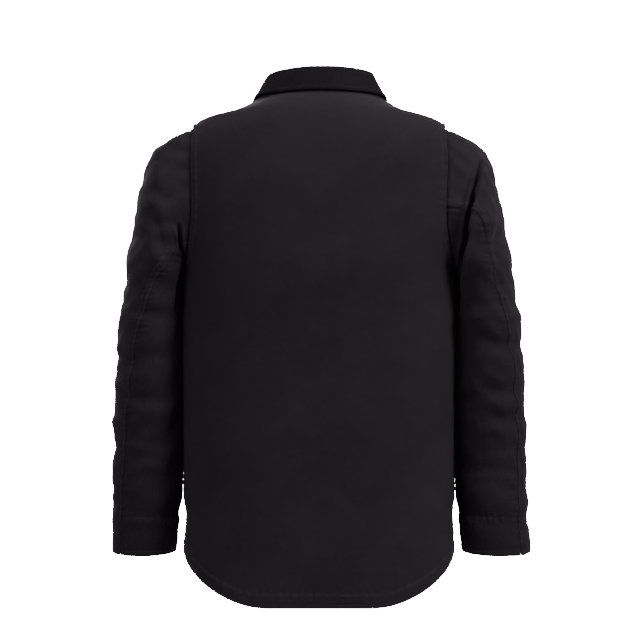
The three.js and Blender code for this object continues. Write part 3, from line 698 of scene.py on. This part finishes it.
def stitches(name, path, body, normal, pitch=3.0, radius=0.32, gap=0.28):
    """A line of sewn thread: short rounded stitches along a path in millimetres."""
    length = run_length(path)
    count = max(2, int(length[-1] / pitch))
    starts = np.linspace(0, length[-1] - pitch, count)

    def at(line, s):
        return np.stack([np.interp(s, length, line[:, k]) for k in range(3)], -1)

    out = at(normal, starts + pitch / 2)
    sections = []
    for share, lift, fat in STITCH:
        centre = at(path, starts + (gap / 2 + share * (pitch - gap)))
        ahead = at(path, starts + pitch) - at(path, starts)
        ahead /= np.maximum(np.linalg.norm(ahead, axis=1, keepdims=True), 1e-9)
        across = np.cross(ahead, out)
        across /= np.maximum(np.linalg.norm(across, axis=1, keepdims=True), 1e-9)
        ring = []
        for k in range(CORNERS):
            turn = k * math.pi / 3
            high = out * (lift + radius * fat * math.sin(turn))
            ring.append(centre + high + across * radius * fat * math.cos(turn))
        sections.append(np.stack(ring, 1))
    points = np.stack(sections, 1)  # stitch, section, corner, xyz
    faces = []
    base = np.arange(len(points)) * len(STITCH) * CORNERS
    last = (len(STITCH) - 1) * CORNERS
    for row in range(0, last, CORNERS):
        for k in range(CORNERS):
            a, b = row + k, row + (k + 1) % CORNERS
            faces.append(np.stack([base + a, base + b, base + b + CORNERS, base + a + CORNERS], 1))
    ends = [[b + k for k in reversed(range(CORNERS))] for b in base]
    ends += [[b + last + k for k in range(CORNERS)] for b in base]
    quads = np.concatenate(faces).tolist() + ends
    piece = make_mesh(name, to_row(points.reshape(-1, 3)), quads, None, THREAD_LOOK)
    if body:
        hang(piece, body)
    return piece


def arc_from_edge(points, low=True):
    """Distance of each point along its row from the row's first or last point."""
    step = np.linalg.norm(np.diff(points, axis=1), axis=-1)
    run = np.concatenate([np.zeros((len(points), 1)), np.cumsum(step, 1)], 1)
    return run if low else run[:, -1:] - run


def trace(points, distance_map, distance, rows=None):
    """The line on a grid at a distance from its first column, over all rows or the first ones."""
    line = []
    for place, run in zip(points[:rows], distance_map[:rows]):
        line.append([np.interp(distance, run, place[:, k]) for k in range(3)])
    return np.array(line)


def level_line(points, height_map, height):
    """The line on a grid where a map that grows up the columns reaches a height."""
    line = []
    for i in range(points.shape[1]):
        line.append([np.interp(height, height_map[:, i], points[:, i, k]) for k in range(3)])
    return np.array(line)


HEM_TURN = 20.0
ARM_LEVELS = (4.03, 8.0)  # levels between which the body has an armhole edge
SIDE_GAP = 0.12  # degrees that back and front stay clear of the side seam
INSIDE = 4.2  # depth of facings and linings under the outer surface


def body_edge(level, towards, low=ARM_LEVELS[0], high=ARM_LEVELS[1] + 0.2, plain=0.0):
    """Angle of a panel's side: the armhole's between two levels, and the side seam's elsewhere."""
    return np.where((level > low) & (level < high), armhole_angle(level, towards), plain)


def band(distance, middle, width):
    """A soft band: 1 at its middle, fading over its width."""
    return np.exp(-((distance - middle) / width) ** 2)


def hem_map(points, angle):
    return points[..., 2] - hem_height(angle)


def hem_relief(height, along_it, seed):
    """The turned hem: a doubled band below its line of stitches."""
    band = 0.9 * (1 - smooth(HEM_TURN - 1.5, HEM_TURN + 1.5, height))
    return band + pucker(height - HEM_TURN, along_it, seed, 8.0, 0.5)


def add_back():
    rows, columns = 250, 200
    level = spaced_levels(0, NECK, rows)[:, None]
    edge = np.maximum(body_edge(level, 1), SIDE_GAP)
    angle = mix(edge, 180 - edge, np.linspace(0, 1, columns)[None, :])
    points = body_surface(angle, level)
    left, right = arc_from_edge(points), arc_from_edge(points, False)
    height = hem_map(points, angle)
    relief = body_relief(points, angle, 11)
    wear = 0.0
    for distance, seed in ((left, 31), (right, 32)):
        relief = relief + felled(distance, 9.0, SEAM_STEP)
        wear = wear + band(distance, 1.2, 1.3) + 0.6 * band(distance, 8.2, 1.2)
        relief = relief + pucker(distance - 7, points[..., 2], seed, 7.0, 0.4)
    relief = relief + hem_relief(height, points[..., 0], 33)
    points = push(points, relief)
    wear = wear + 0.7 * band(height, HEM_TURN, 1.4) + 0.5 * band(height, 0, 1.6)
    cloth("shell_back", points, CANVAS, CANVAS_LOOK, node="back_panel", wear=wear)
    n = normals_of(points, False)
    last = np.searchsorted(level[:, 0], ARM_LEVELS[1])
    for name, distance, order in (("left", left, 1), ("right", right, -1)):
        run = distance[:, ::order]
        for inset in (1.6, 7.6):
            line = trace(points[:, ::order], run, inset, last)
            out = trace(n[:, ::order], run, inset, last)
            stitches(f"back_seam_thread_{name}_{int(inset)}", line, "torso", out)
    line, out = level_line(points, height, HEM_TURN), level_line(n, height, HEM_TURN)
    stitches("back_hem_thread", line, "torso", out)


def add_front(side):
    name = "left" if side > 0 else "right"
    rows, columns = 230, 110
    level = spaced_levels(0, NECK, rows, -90)[:, None]
    edge = -np.maximum(body_edge(level, -1), SIDE_GAP)
    angle = mix(front_angle(FRONT_EDGE, level), edge, np.linspace(0, 1, columns)[None, :])
    points = body_surface(angle, level)
    inner = arc_from_edge(points)
    height = hem_map(points, angle)
    relief = body_relief(points, angle, 51 + side) * smooth(0, 60, inner)
    relief = relief + felled(inner, 9.0, 0.7) + pucker(inner - 8, points[..., 2], 41 + side, 6.0, 0.35)
    relief = relief + hem_relief(height, points[..., 0], 43 + side)
    points = push(points, relief)
    n = normals_of(points, False)
    turn = np.array((side, 1, 1))
    cloth(f"shell_front_{name}", points * turn, CANVAS, CANVAS_LOOK, node=f"front_panel_{name}", inward=side)
    line, out = trace(points, inner, 8.0), trace(n, inner, 8.0)
    stitches(f"front_edge_thread_{name}", line * turn, "torso", out * turn)
    line, out = level_line(points, height, HEM_TURN), level_line(n, height, HEM_TURN)
    stitches(f"front_hem_thread_{name}", line * turn, "torso", out * turn)


def offset_grid(surface, a, b, depth):
    """A surface's points moved inwards by a depth."""
    points = surface(a, b)
    return points - normals_of(points, False) * depth


def hem_top(angle):
    """The level of the hem's stitches."""
    return level_at(angle, hem_height(angle) + HEM_TURN)


def add_inside():
    """Facings and linings of the body, each where its solid in the model lies."""
    angle = np.linspace(1.0, 179.0, 160)[None, :]
    v = np.linspace(0, 1, 8)[:, None]
    level = mix(0.02, hem_top(angle), v)
    relief = pucker(v * HEM_TURN - HEM_TURN, angle * 3, 61, 8.0, 0.4)
    points = push(offset_grid(body_surface, angle + 0 * v, level, INSIDE), relief)
    cloth("back_hem_turn", points, LINING, INSIDE_LOOK, node="back_hem_facing")

    facing_low = float(level_at(90, BACK_LENGTH - 46))
    angle = np.linspace(35, 145, 120)[None, :]
    level = mix(facing_low + 0.02, NECK - 0.01, np.linspace(0, 1, 30)[:, None])
    points = offset_grid(body_surface, angle + 0 * level, level, INSIDE)
    cloth("neck_facing", points, LINING, INSIDE_LOOK, node="back_neck_facing")

    angle = np.linspace(1, 179, 130)[None, :]
    v = np.linspace(0, 1, 150)[:, None]
    level = mix(hem_top(angle) + 0.02, facing_low, v)
    edge = body_edge(level[:, :1], 1, 3.9, 8.3, 1.0)
    angle = mix(edge, 180 - edge, np.linspace(0, 1, 130)[None, :])
    points = offset_grid(body_surface, angle, level, INSIDE)
    points = push(points, 0.9 * waves(points[..., 0], points[..., 2], 71, 7, 60.0, 0.2, 0.9))
    cloth("lining_back", points, LINING, LINING_LOOK, node="back_lining")
    for side, name in ((1, "left"), (-1, "right")):
        add_front_inside(side, name)


def add_front_inside(side, name):
    turn = np.array((side, 1, 1))
    beyond = FRONT_EDGE + 57
    level = spaced_levels(0.02, NECK - 0.01, 150, -90)[:, None]
    angle = mix(front_angle(FRONT_EDGE + 2, level), front_angle(FRONT_EDGE + 55, level),
                np.linspace(0, 1, 16)[None, :])
    points = offset_grid(body_surface, angle, level, INSIDE + 3.2)
    cloth(f"facing_front_{name}", points * turn, LINING, INSIDE_LOOK, node=f"front_facing_{name}",
          inward=side)
    top = float(hem_top(-60))
    u = np.linspace(0, 1, 70)[None, :]
    level = np.linspace(0.02, top, 8)[:, None]
    points = offset_grid(body_surface, mix(front_angle(beyond, level), -0.3, u), level, INSIDE)
    cloth(f"hem_turn_front_{name}", points * turn, LINING, INSIDE_LOOK, node=f"front_hem_facing_{name}",
          inward=side)
    level = spaced_levels(top + 0.03, NECK - 0.05, 140, -60)[:, None]
    edge = body_edge(level, -1, 3.9, 8.3, 1.0)
    points = offset_grid(body_surface, mix(front_angle(beyond, level), -edge, u), level, INSIDE)
    points = push(points, 0.8 * waves(points[..., 0], points[..., 2], 75 + side, 7, 60.0, 0.2, 0.9))
    cloth(f"lining_front_{name}", points * turn, LINING, LINING_LOOK, node=f"front_lining_{name}",
          inward=side)


# Sleeves. Folds are drawn on the left sleeve's back as lines of (x, z); the right sleeve has
# folds of its own, drawn the same way and then mirrored.
FOLDS = {
    "left": [
        ([(209, 575), (208, 547), (204, 517), (209, 495), (212, 470), (214, 444)], 3.6, 12.0),
        ([(200, 480), (204, 492), (209, 500)], 3.0, 5.0),
        ([(250, 600), (238, 560), (226, 530), (214, 512)], 12.0, 6.5),
        ([(279, 560), (262, 520), (244, 492), (224, 470)], 14.0, 5.5),
        ([(262, 660), (254, 636), (240, 618), (226, 604)], 11.0, 3.6),
        ([(296, 470), (276, 452), (252, 440), (226, 436)], 11.0, 4.6),
        ([(300, 380), (280, 372), (258, 376), (232, 384)], 10.0, 4.6),
        ([(304, 330), (284, 318), (262, 316), (236, 322)], 9.0, 4.8),
        ([(306, 265), (286, 262), (260, 270), (232, 268)], 11.0, 3.6),
        ([(307, 205), (284, 196), (258, 200), (234, 190)], 9.0, 3.0),
    ],
    "right": [
        ([(243, 668), (238, 650), (231, 625), (225, 595), (219, 550), (214, 513), (209, 475),
          (207, 430)], 3.2, 16.0),
        ([(273, 650), (272, 610), (271, 565), (266, 520), (262, 490)], 8.0, 6.5),
        ([(288, 520), (270, 492), (250, 470), (226, 452)], 13.0, 4.6),
        ([(300, 400), (282, 392), (258, 398), (232, 404)], 10.0, 4.4),
        ([(305, 335), (284, 326), (258, 326), (234, 334)], 9.5, 5.0),
        ([(306, 290), (290, 282), (262, 284), (238, 276)], 9.0, 4.0),
        ([(308, 215), (288, 206), (262, 206), (238, 214)], 10.0, 3.6),
    ],
}


def sleeve_relief(points, angle, name, seed):
    x, y, z = np.moveaxis(points, -1, 0)
    amount = np.zeros(x.shape)
    behind = smooth(-0.1, 0.35, np.sin(np.radians(angle)))
    for k, (line, width, depth) in enumerate(FOLDS[name]):
        amount += behind * fold(x, z, line, width, depth, step=5.0 if k == 0 else 0.0)
    ahead = 1 - behind
    for k, (low, high) in enumerate(((560, 500), (480, 448), (352, 330), (300, 316), (236, 222), (176, 188))):
        line = [(212, low), (240, mix(low, high, 0.5)), (268, high), (300, high + 8)]
        amount += ahead * fold(x, z, line, 10.0 + k, 3.0)
    amount += (1.9 * waves(z, x + y, seed, 8, 70.0, 0.15, 0.5)
               + 0.7 * waves(z, x - y, seed + 1, 8, 30.0, 0.1, 0.8))
    free = 1 - 0.9 * np.exp(-(((angle % 360) - 180) / 30.0) ** 2) * smooth(140, 170, z) * smooth(540, 500, z)
    joined = smooth(-1.0, 13.0, x - armhole_x(np.maximum(z, UNDERARM_Z)))
    return amount * smooth(CUFF_Z - 10, CUFF_Z + 70, z) * free * joined


def add_sleeve(side):
    name = "left" if side > 0 else "right"
    body = f"{name}_sleeve"
    turn = np.array((side, 1, 1))
    fine = np.linspace(0, CUFF, 1200)
    length = run_length(sleeve_surface(30, fine))
    ring = np.interp(np.linspace(length[-1], 0, 230), length, fine)[:, None]
    for part, low, high, columns in (
        ("top", front_seam(ring) + 0.15, back_seam(ring, name) - 0.15, 150),
        ("under", back_seam(ring, name) + 0.15, 360 + front_seam(ring) - 0.15, 150),
    ):
        angle = mix(low, high, np.linspace(0, 1, columns)[None, :])
        points = worn_sleeve(angle, ring, name)
        x, y, z = np.moveaxis(points, -1, 0)
        relief = sleeve_relief(points, angle, name, 81 + side)
        seam = arc_from_edge(points, part == "under")
        over = 1.0 if part == "top" else 0.0
        relief = relief + over * felled(seam, 9.0, SEAM_STEP) + pucker(seam - 4, z, 91 + side, 9.0, 0.75)
        other = arc_from_edge(points, part != "under")
        relief = relief + pucker(other - 3, z, 93 + side, 8.0, 0.5)
        hem = z - CUFF_Z
        relief = relief + 1.0 * (1 - smooth(48.5, 51.0, hem)) + pucker(hem - 50, x + y, 95 + side, 8.0, 0.5)
        # The sleeve's head tucks under the edge of the body.
        tucked = 1 - smooth(0.0, 0.35, ring)
        relief = relief - 2.4 * tucked
        points = push(points, relief)
        n = normals_of(points, False)
        wear = over * band(seam, 1.2, 1.3) + 0.6 * over * band(seam, 8.4, 1.2)
        wear = wear + 0.6 * band(hem, 50, 1.4) + 0.5 * band(hem, 0, 1.8)
        cloth(f"{part}_sleeve_cloth_{name}", points * turn, CANVAS, CANVAS_LOOK, body,
              f"{part}_sleeve_{name}", inward=side, wear=wear)
        if part == "top":
            for inset in (1.8, 8.0):
                line = trace(points[:, ::-1], seam[:, ::-1], inset)
                out = trace(n[:, ::-1], seam[:, ::-1], inset)
                stitches(f"sleeve_seam_thread_{name}_{int(inset)}", line * turn, body, out * turn)
        for height in (44.0, 50.0):
            line = level_line(points, hem, height)
            out = level_line(n, hem, height)
            stitches(f"cuff_thread_{name}_{part}_{int(height)}", line * turn, body, out * turn)
    angle = np.linspace(0, 360, 121)[:-1][None, :]
    for node, low, high, rows, look in (
        (f"cuff_facing_{name}", 10.05, CUFF - 0.03, 20, INSIDE_LOOK),
        (f"sleeve_lining_{name}", 1.0, 10.0, 130, LINING_LOOK),
    ):
        grid = np.linspace(high, low, rows)[:, None]
        points = worn_sleeve(angle + 0 * grid, grid + 0 * angle, name)
        sunk = np.minimum(sleeve_relief(points, angle, name, 81 + side), 0)
        points = points + normals_of(points, True) * (sunk - INSIDE)[..., None]
        if look is LINING_LOOK:
            slack = waves(points[..., 2], points[..., 0], 99 + side, 6, 50.0, 0.2, 0.7)
            points = push(points, 0.8 * slack, True)
        cloth(f"{node}_cloth", points * turn, LINING, look, body, node, wrap=True, inward=side)


# Collar: a stand round the neck, and a corduroy leaf that turns over it and falls outside.
COLLAR_END, POINT_SPREAD = 6.0, 27.0
WALE = 2.4  # from one cord of the corduroy to the next


def collar_angle(u):
    return mix(-90 + COLLAR_END, 270 - COLLAR_END, u)


def roll_point(angle):
    seam = body_surface(angle, NECK)
    from_back = np.abs((angle + 90) % 360 - 180)
    rise = (COLLAR_STAND - 5 * smooth(10, 60, from_back) + 4 * smooth(60, 90, from_back)
            - 7 * smooth(95, 180, from_back))
    # Seen from behind, the roll line turns the corner beside the neck rather sharply.
    square = 1 + 0.2 * np.sin(np.radians(2 * angle)) ** 2 * (np.sin(np.radians(angle)) > 0)
    wide = np.stack([0.885 * square, 0.97 + 0 * square, 1 + 0 * square], -1)
    return seam * wide + np.stack([0 * rise, 0.09 + 0 * rise, rise - 1], -1)


def leaf_edge(u):
    plain = collar_angle(u)
    from_back = np.abs((plain + 90) % 360 - 180)
    front = smooth(70, 172, from_back)
    point = np.where(plain < 90, -90 + POINT_SPREAD, 270 - POINT_SPREAD)
    angle = mix(plain, point, front ** 3)
    level = NECK - mix(mix(0.66, 0.28, smooth(10, 88, from_back)), 3.2, front ** 2)
    p = body_surface(angle, level)
    n = np.cross(body_surface(angle + 0.5, level) - body_surface(angle - 0.5, level),
                 body_surface(angle, level + 0.01) - body_surface(angle, level - 0.01))
    return p + 4.5 * n / np.linalg.norm(n, axis=-1, keepdims=True)


def leaf_surface(u, v):
    """The leaf's outer side, from the roll line at v = 0 to its free edge at v = 1."""
    top = roll_point(collar_angle(u))
    seam = body_surface(collar_angle(u), NECK)
    away = seam * (1, 1, 0) - (0, 3, 0)
    away = away / np.linalg.norm(away, axis=-1, keepdims=True)
    start = top + away * 1.2
    shoulder = top + away * 4.0 + (0, 0, 1.0)
    edge = leaf_edge(u)
    return start * (1 - v) ** 2 + 2 * shoulder * v * (1 - v) + edge * v ** 2


def add_collar():
    u = np.linspace(0, 1, 200)[None, :]
    v = np.linspace(0, 1, 14)[:, None]
    angle = collar_angle(u)
    foot = body_surface(angle, NECK - 0.12) * (0.975, 0.975, 1) - (0, 0, 4)
    stand = foot * (1 - v[..., None]) + roll_point(angle) * v[..., None]
    cloth("collar_stand_cloth", stand, 2.0, CORDUROY_LOOK, node="collar_stand")
    u = np.linspace(0.003, 0.997, 1500)[None, :]
    v = np.linspace(0, 1, 34)[:, None]
    u, v = np.broadcast_arrays(u, v)
    points = leaf_surface(u, v[..., None])
    run = arc_from_edge(points)
    middle = run[:, run.shape[1] // 2][:, None]
    down = np.concatenate([np.zeros((1, points.shape[1])),
                           np.cumsum(np.linalg.norm(np.diff(points, axis=0), axis=-1), 0)], 0)
    to_edge = down[-1:] - down
    rest = run - middle
    wale = np.abs(np.sin(math.pi * rest[-1:] / WALE)) ** 0.7
    relief = 0.42 * wale * smooth(0, 1.5, to_edge)
    relief = (relief - 0.5 * (1 - smooth(0.0, 1.1, np.abs(to_edge - 7.0)))
              + 0.6 * (1 - smooth(4.5, 6.5, to_edge)))
    relief = relief + 0.8 * waves(rest, down * 2, 141, 6, 70.0, 0.0, 0.4) * smooth(0, 12, down)
    points = push(points[::-1], relief[::-1])
    cloth("collar_leaf_cloth", points, 2.2, CORDUROY_LOOK, node="collar_leaf")


# Fronts: pockets, flaps, the zip with its flap, and what is sewn inside the neck.
CHEST_X, CHEST_Z = (66.0, 158.0), (SHOULDER_Z - 228, SHOULDER_Z - 104)
HAND_X, HAND_Z = (48.0, 160.0), (SIDE_HEM + 44, SIDE_HEM + 214)
INNER_X, INNER_Z = (74.0, 150.0), (386.0, 520.0)
FLAP_TOP = CHEST_Z[1] + 10


def front_patch(x, z, depth, side):
    """Points over a front at x and z, depth millimetres out from its surface."""
    level = level_at(-75, z)
    angle = front_angle(x, level)
    p = body_surface(angle, level)
    n = np.cross(body_surface(angle + 0.3, level) - p, body_surface(angle, level + 0.01) - p)
    n = n / np.linalg.norm(n, axis=-1, keepdims=True)
    return (p + n * np.asarray(depth)[..., None]) * (side, 1, 1), n * (side, 1, 1)


def patch_grid(x, z, columns, rows):
    u, v = np.meshgrid(np.linspace(0, 1, columns), np.linspace(0, 1, rows))
    return u, v, mix(x[0], x[1], u), mix(z[0], z[1], v)


def sewn_patch(name, node, side, x, z, bulge, low=1.9):
    """A patch pocket: pressed flat along its sewn edges, and standing off in the middle."""
    _, v, px, pz = patch_grid(x, z, 110, 120)
    inset_x = np.minimum(px - x[0], x[1] - px)
    inset_z = pz - pz.min()
    rise = smooth(4, 26, inset_x) * smooth(4, 46, inset_z)
    creases = 0.25 * waves(px, pz, 151 + side, 6, 34.0, 0.0, 0.9)
    depth = low + bulge * rise * mix(0.55, 1.0, v) + creases * rise
    edge = np.minimum(inset_x, inset_z)
    depth = depth - 0.45 * band(edge, 3, 0.9) + 0.4 * band(edge, 0.9, 1.2)
    mouth = z[1] - pz
    depth = depth + 0.8 * (1 - smooth(23, 25, mouth)) - 0.4 * band(mouth, 24, 1.0)
    points, n = front_patch(px, pz, depth, side)
    cloth(name, points, CANVAS, CANVAS_LOOK, node=node, inward=side)

    def row_at(height):
        return (height - z[0]) / (z[1] - z[0]) * (pz.shape[0] - 1)

    s = np.linspace(0, 1, 160)
    for k, inset in enumerate((2.0, 8.0)):
        left, right, foot, top = x[0] + inset, x[1] - inset, z[0] + inset, z[1] - 1.5
        path_x = np.concatenate([0 * s + left, mix(left, right, s), 0 * s + right])
        path_z = np.concatenate([mix(top, foot, s), 0 * s + foot, mix(foot, top, s)])
        columns = np.interp(path_x, px[0], np.arange(px.shape[1]))
        sew(f"{name}_thread_{k}", points, n, columns, row_at(path_z))
    columns = np.linspace(3, px.shape[1] - 4, 120)
    for inset in (18.0, 24.0):
        sew(f"{name}_mouth_thread_{int(inset)}", points, n, columns, row_at(z[1] - inset) + 0 * columns)


def at_grid(grid, iu, iv):
    """Bilinear place on a grid at fractional columns and rows."""
    iu, iv = np.clip(iu, 0, grid.shape[1] - 1.001), np.clip(iv, 0, grid.shape[0] - 1.001)
    a, b = iu.astype(int), iv.astype(int)
    fu, fv = (iu - a)[:, None], (iv - b)[:, None]
    low = grid[b, a] * (1 - fu) + grid[b, a + 1] * fu
    high = grid[b + 1, a] * (1 - fu) + grid[b + 1, a + 1] * fu
    return low * (1 - fv) + high * fv


def sew(name, points, n, iu, iv, body="torso"):
    """Stitches along a path over a grid, given by fractional columns and rows."""
    return stitches(name, at_grid(points, iu, iv), body, at_grid(n, iu, iv))


def add_flap(side, name):
    x, z = (CHEST_X[0] - 3, CHEST_X[1] + 3), (FLAP_TOP - 44, FLAP_TOP + 6)
    u, v, px, pz = patch_grid(x, z, 120, 70)
    across = np.sin(math.pi * u) ** 0.55
    # The free edge dips to a shallow point at the snap.
    point = 5.0 * (1 - np.abs(2 * u - 1)) * (1 - smooth(0, 0.5, v))
    out = mix(7.5, 18.4, across)
    sewn = smooth(FLAP_TOP - 5, FLAP_TOP + 4, pz)
    depth = mix(out, 2.6, sewn)
    inset = np.minimum(np.minimum(px - x[0], x[1] - px), pz - z[0])
    depth = depth - 0.4 * band(inset, 4, 0.9) + 0.2 * waves(px, pz, 161 + side, 5, 30.0, 0.0, 0.9)
    points, n = front_patch(px, pz - point, depth, side)
    piece = cloth(f"chest_flap_cloth_{name}", points, 2.2, CANVAS_LOOK, None, inward=side)
    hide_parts(f"chest_flap_{name}")
    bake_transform(piece)
    width, height = x[1] - x[0], z[1] - z[0]
    t, corners = np.linspace(0, 1, 300), [0, 0.3, 0.7, 1]
    for inset in (3.5, 9.5):
        columns = np.interp(t, corners, [inset, inset, width - inset, width - inset]) / width * 119
        rows = np.interp(t, corners, [height - 4, inset, inset, height - 4]) / height * 69
        thread = sew(f"flap_thread_{name}_{int(inset)}", points, n, columns, rows, None)
        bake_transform(thread)


def add_inner_pocket():
    """A patch pocket on the lining of the left front, its mouth a little open."""
    _, v, px, pz = patch_grid(INNER_X, INNER_Z, 60, 90)
    rise = smooth(2, 24, np.minimum(px - INNER_X[0], INNER_X[1] - px)) * smooth(2, 40, pz - INNER_Z[0])
    depth = -(7.2 + 5.5 * rise * mix(0.4, 1.0, v))
    points, _ = front_patch(px, pz, depth, 1)
    cloth("inner_pocket_cloth", points, LINING, LINING_LOOK, node="inner_pocket")


def add_zip_cloth():
    """Tapes and the flap behind them, in the zip's own leaning frame."""
    lean = math.atan2(FRONT_HEM - FRONT_NECK, FRONT_NECK_Z - SIDE_HEM)
    foot = np.array([0, float(front_line(84.0)), 84.0])
    along_zip = np.array([0, math.sin(lean), math.cos(lean)])
    inwards = np.array([0, math.cos(lean), -math.sin(lean)])
    length = (680.0 - 84.0) / math.cos(lean)

    def place(x, y, z):
        return foot + sideways(x) + y[..., None] * inwards + z[..., None] * along_zip

    z = np.linspace(0, 1, 220)[:, None]
    for side, name in ((1, "left"), (-1, "right")):
        u = np.linspace(0.8, 20, 14)[None, :]
        x, t = np.broadcast_arrays(u, z * length)
        y = 3.0 + 0.3 * waves(t, x, 171 + side, 4, 40.0, 0, 0.3) * smooth(4, 14, x)
        cloth(f"zip_tape_cloth_{name}", place(x, y, t) * (side, 1, 1), 0.7, TAPE_LOOK,
              node=f"zip_tape_{name}", inward=side)
        add_teeth(side, name, place, length)
    u = np.linspace(-27, 27, 40)[None, :]
    x, t = np.broadcast_arrays(u, mix(8.0, length - 6, z))
    y = 4.7 + 0.35 * waves(t, x, 175, 5, 60.0, 0, 0.4)
    cloth("wind_flap_cloth", place(x, y, t), 1.2, INSIDE_LOOK, node="inner_wind_flap")


def add_teeth(side, name, place, length):
    """A row of teeth, half a pitch along from the other side's."""
    pitch = 3.2
    starts = np.arange(2.0 + (pitch / 2 if side < 0 else 0.0), length - 3, pitch)
    # A tooth's sections across the zip, each with its half height, and their six corners.
    profile = [(-1.0, 0.55), (0.6, 0.75), (1.6, 0.5), (4.4, 0.62)]
    corners = ((0.15, -0.7), (0.15, 0.7), (1.2, 1), (2.3, 0.7), (2.3, -0.7), (1.2, -1))
    verts, faces = [], []
    for s in starts:
        base = len(verts)
        for x, half in profile:
            verts += [(side * x, y, s + half * share) for y, share in corners]
        for k in range(3):
            for j in range(6):
                a, b = base + k * 6 + j, base + k * 6 + (j + 1) % 6
                faces.append((a, b, b + 6, a + 6) if side > 0 else (a, a + 6, b + 6, b))
        first, last = [base + j for j in range(6)], [base + 18 + j for j in range(6)]
        faces.append(tuple(first[::-1] if side > 0 else first))
        faces.append(tuple(last if side > 0 else last[::-1]))
    v = np.array(verts)
    points = place(v[:, 0], v[:, 1], v[:, 2])
    piece = make_mesh(f"zip_teeth_fine_{name}", to_row(points), faces, None, ZIP_LOOK, False)
    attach(piece, "torso")
    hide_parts(f"zip_teeth_{name}")


def add_neck_pieces():
    # Hanger loop: a folded tape whose ends are sewn to the stand.
    half = [(-25, 781), (-24.2, 784), (-18.0, 794.2), (-16.5, 795.0)]
    path = np.array(half + [(-x, z) for x, z in reversed(half)], float)
    run = np.concatenate([[0], np.cumsum(np.hypot(*np.diff(path, axis=0).T))])
    s = np.linspace(0, run[-1], 90)
    x, z = np.interp(s, run, path[:, 0]), np.interp(s, run, path[:, 1])
    y = np.linspace(LOOP_Y + 4, LOOP_Y - 4, 12)[:, None]
    points = np.stack(np.broadcast_arrays(x[None, :], y, z[None, :]), -1)
    cloth("hanger_loop_cloth", points, 1.5, TAPE_LOOK, node="hanger_loop", inward=-1)
    u, v = np.meshgrid(np.linspace(82, 98, 40), np.linspace(0, 1, 30))
    low, high = float(level_at(90, BACK_LENGTH - 36)), float(level_at(90, BACK_LENGTH - 12))
    points = offset_grid(body_surface, u, mix(low, high, v), 6.6)
    cloth("size_label_cloth", points, 0.7, LABEL_LOOK, node="size_label")


add_back()
add_inside()
for side in (1, -1):
    add_front(side)
    add_sleeve(side)

add_collar()
for side, name in ((1, "left"), (-1, "right")):
    sewn_patch(f"chest_pocket_cloth_{name}", f"chest_pocket_{name}", side, CHEST_X, CHEST_Z, 10.0)
    sewn_patch(f"hand_pocket_cloth_{name}", f"hand_pocket_{name}", side, HAND_X, HAND_Z, 8.5)
    add_flap(side, name)
add_inner_pocket()
add_zip_cloth()
add_neck_pieces()
for name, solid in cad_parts.items():
    metal = ZIP_LOOK if name.startswith("zip_") and "tape" not in name else None
    if "snap" in name or "rivet" in name:
        metal = SNAP_LOOK
    if metal:
        solid.data.materials.clear()
        solid.data.materials.append(metal)
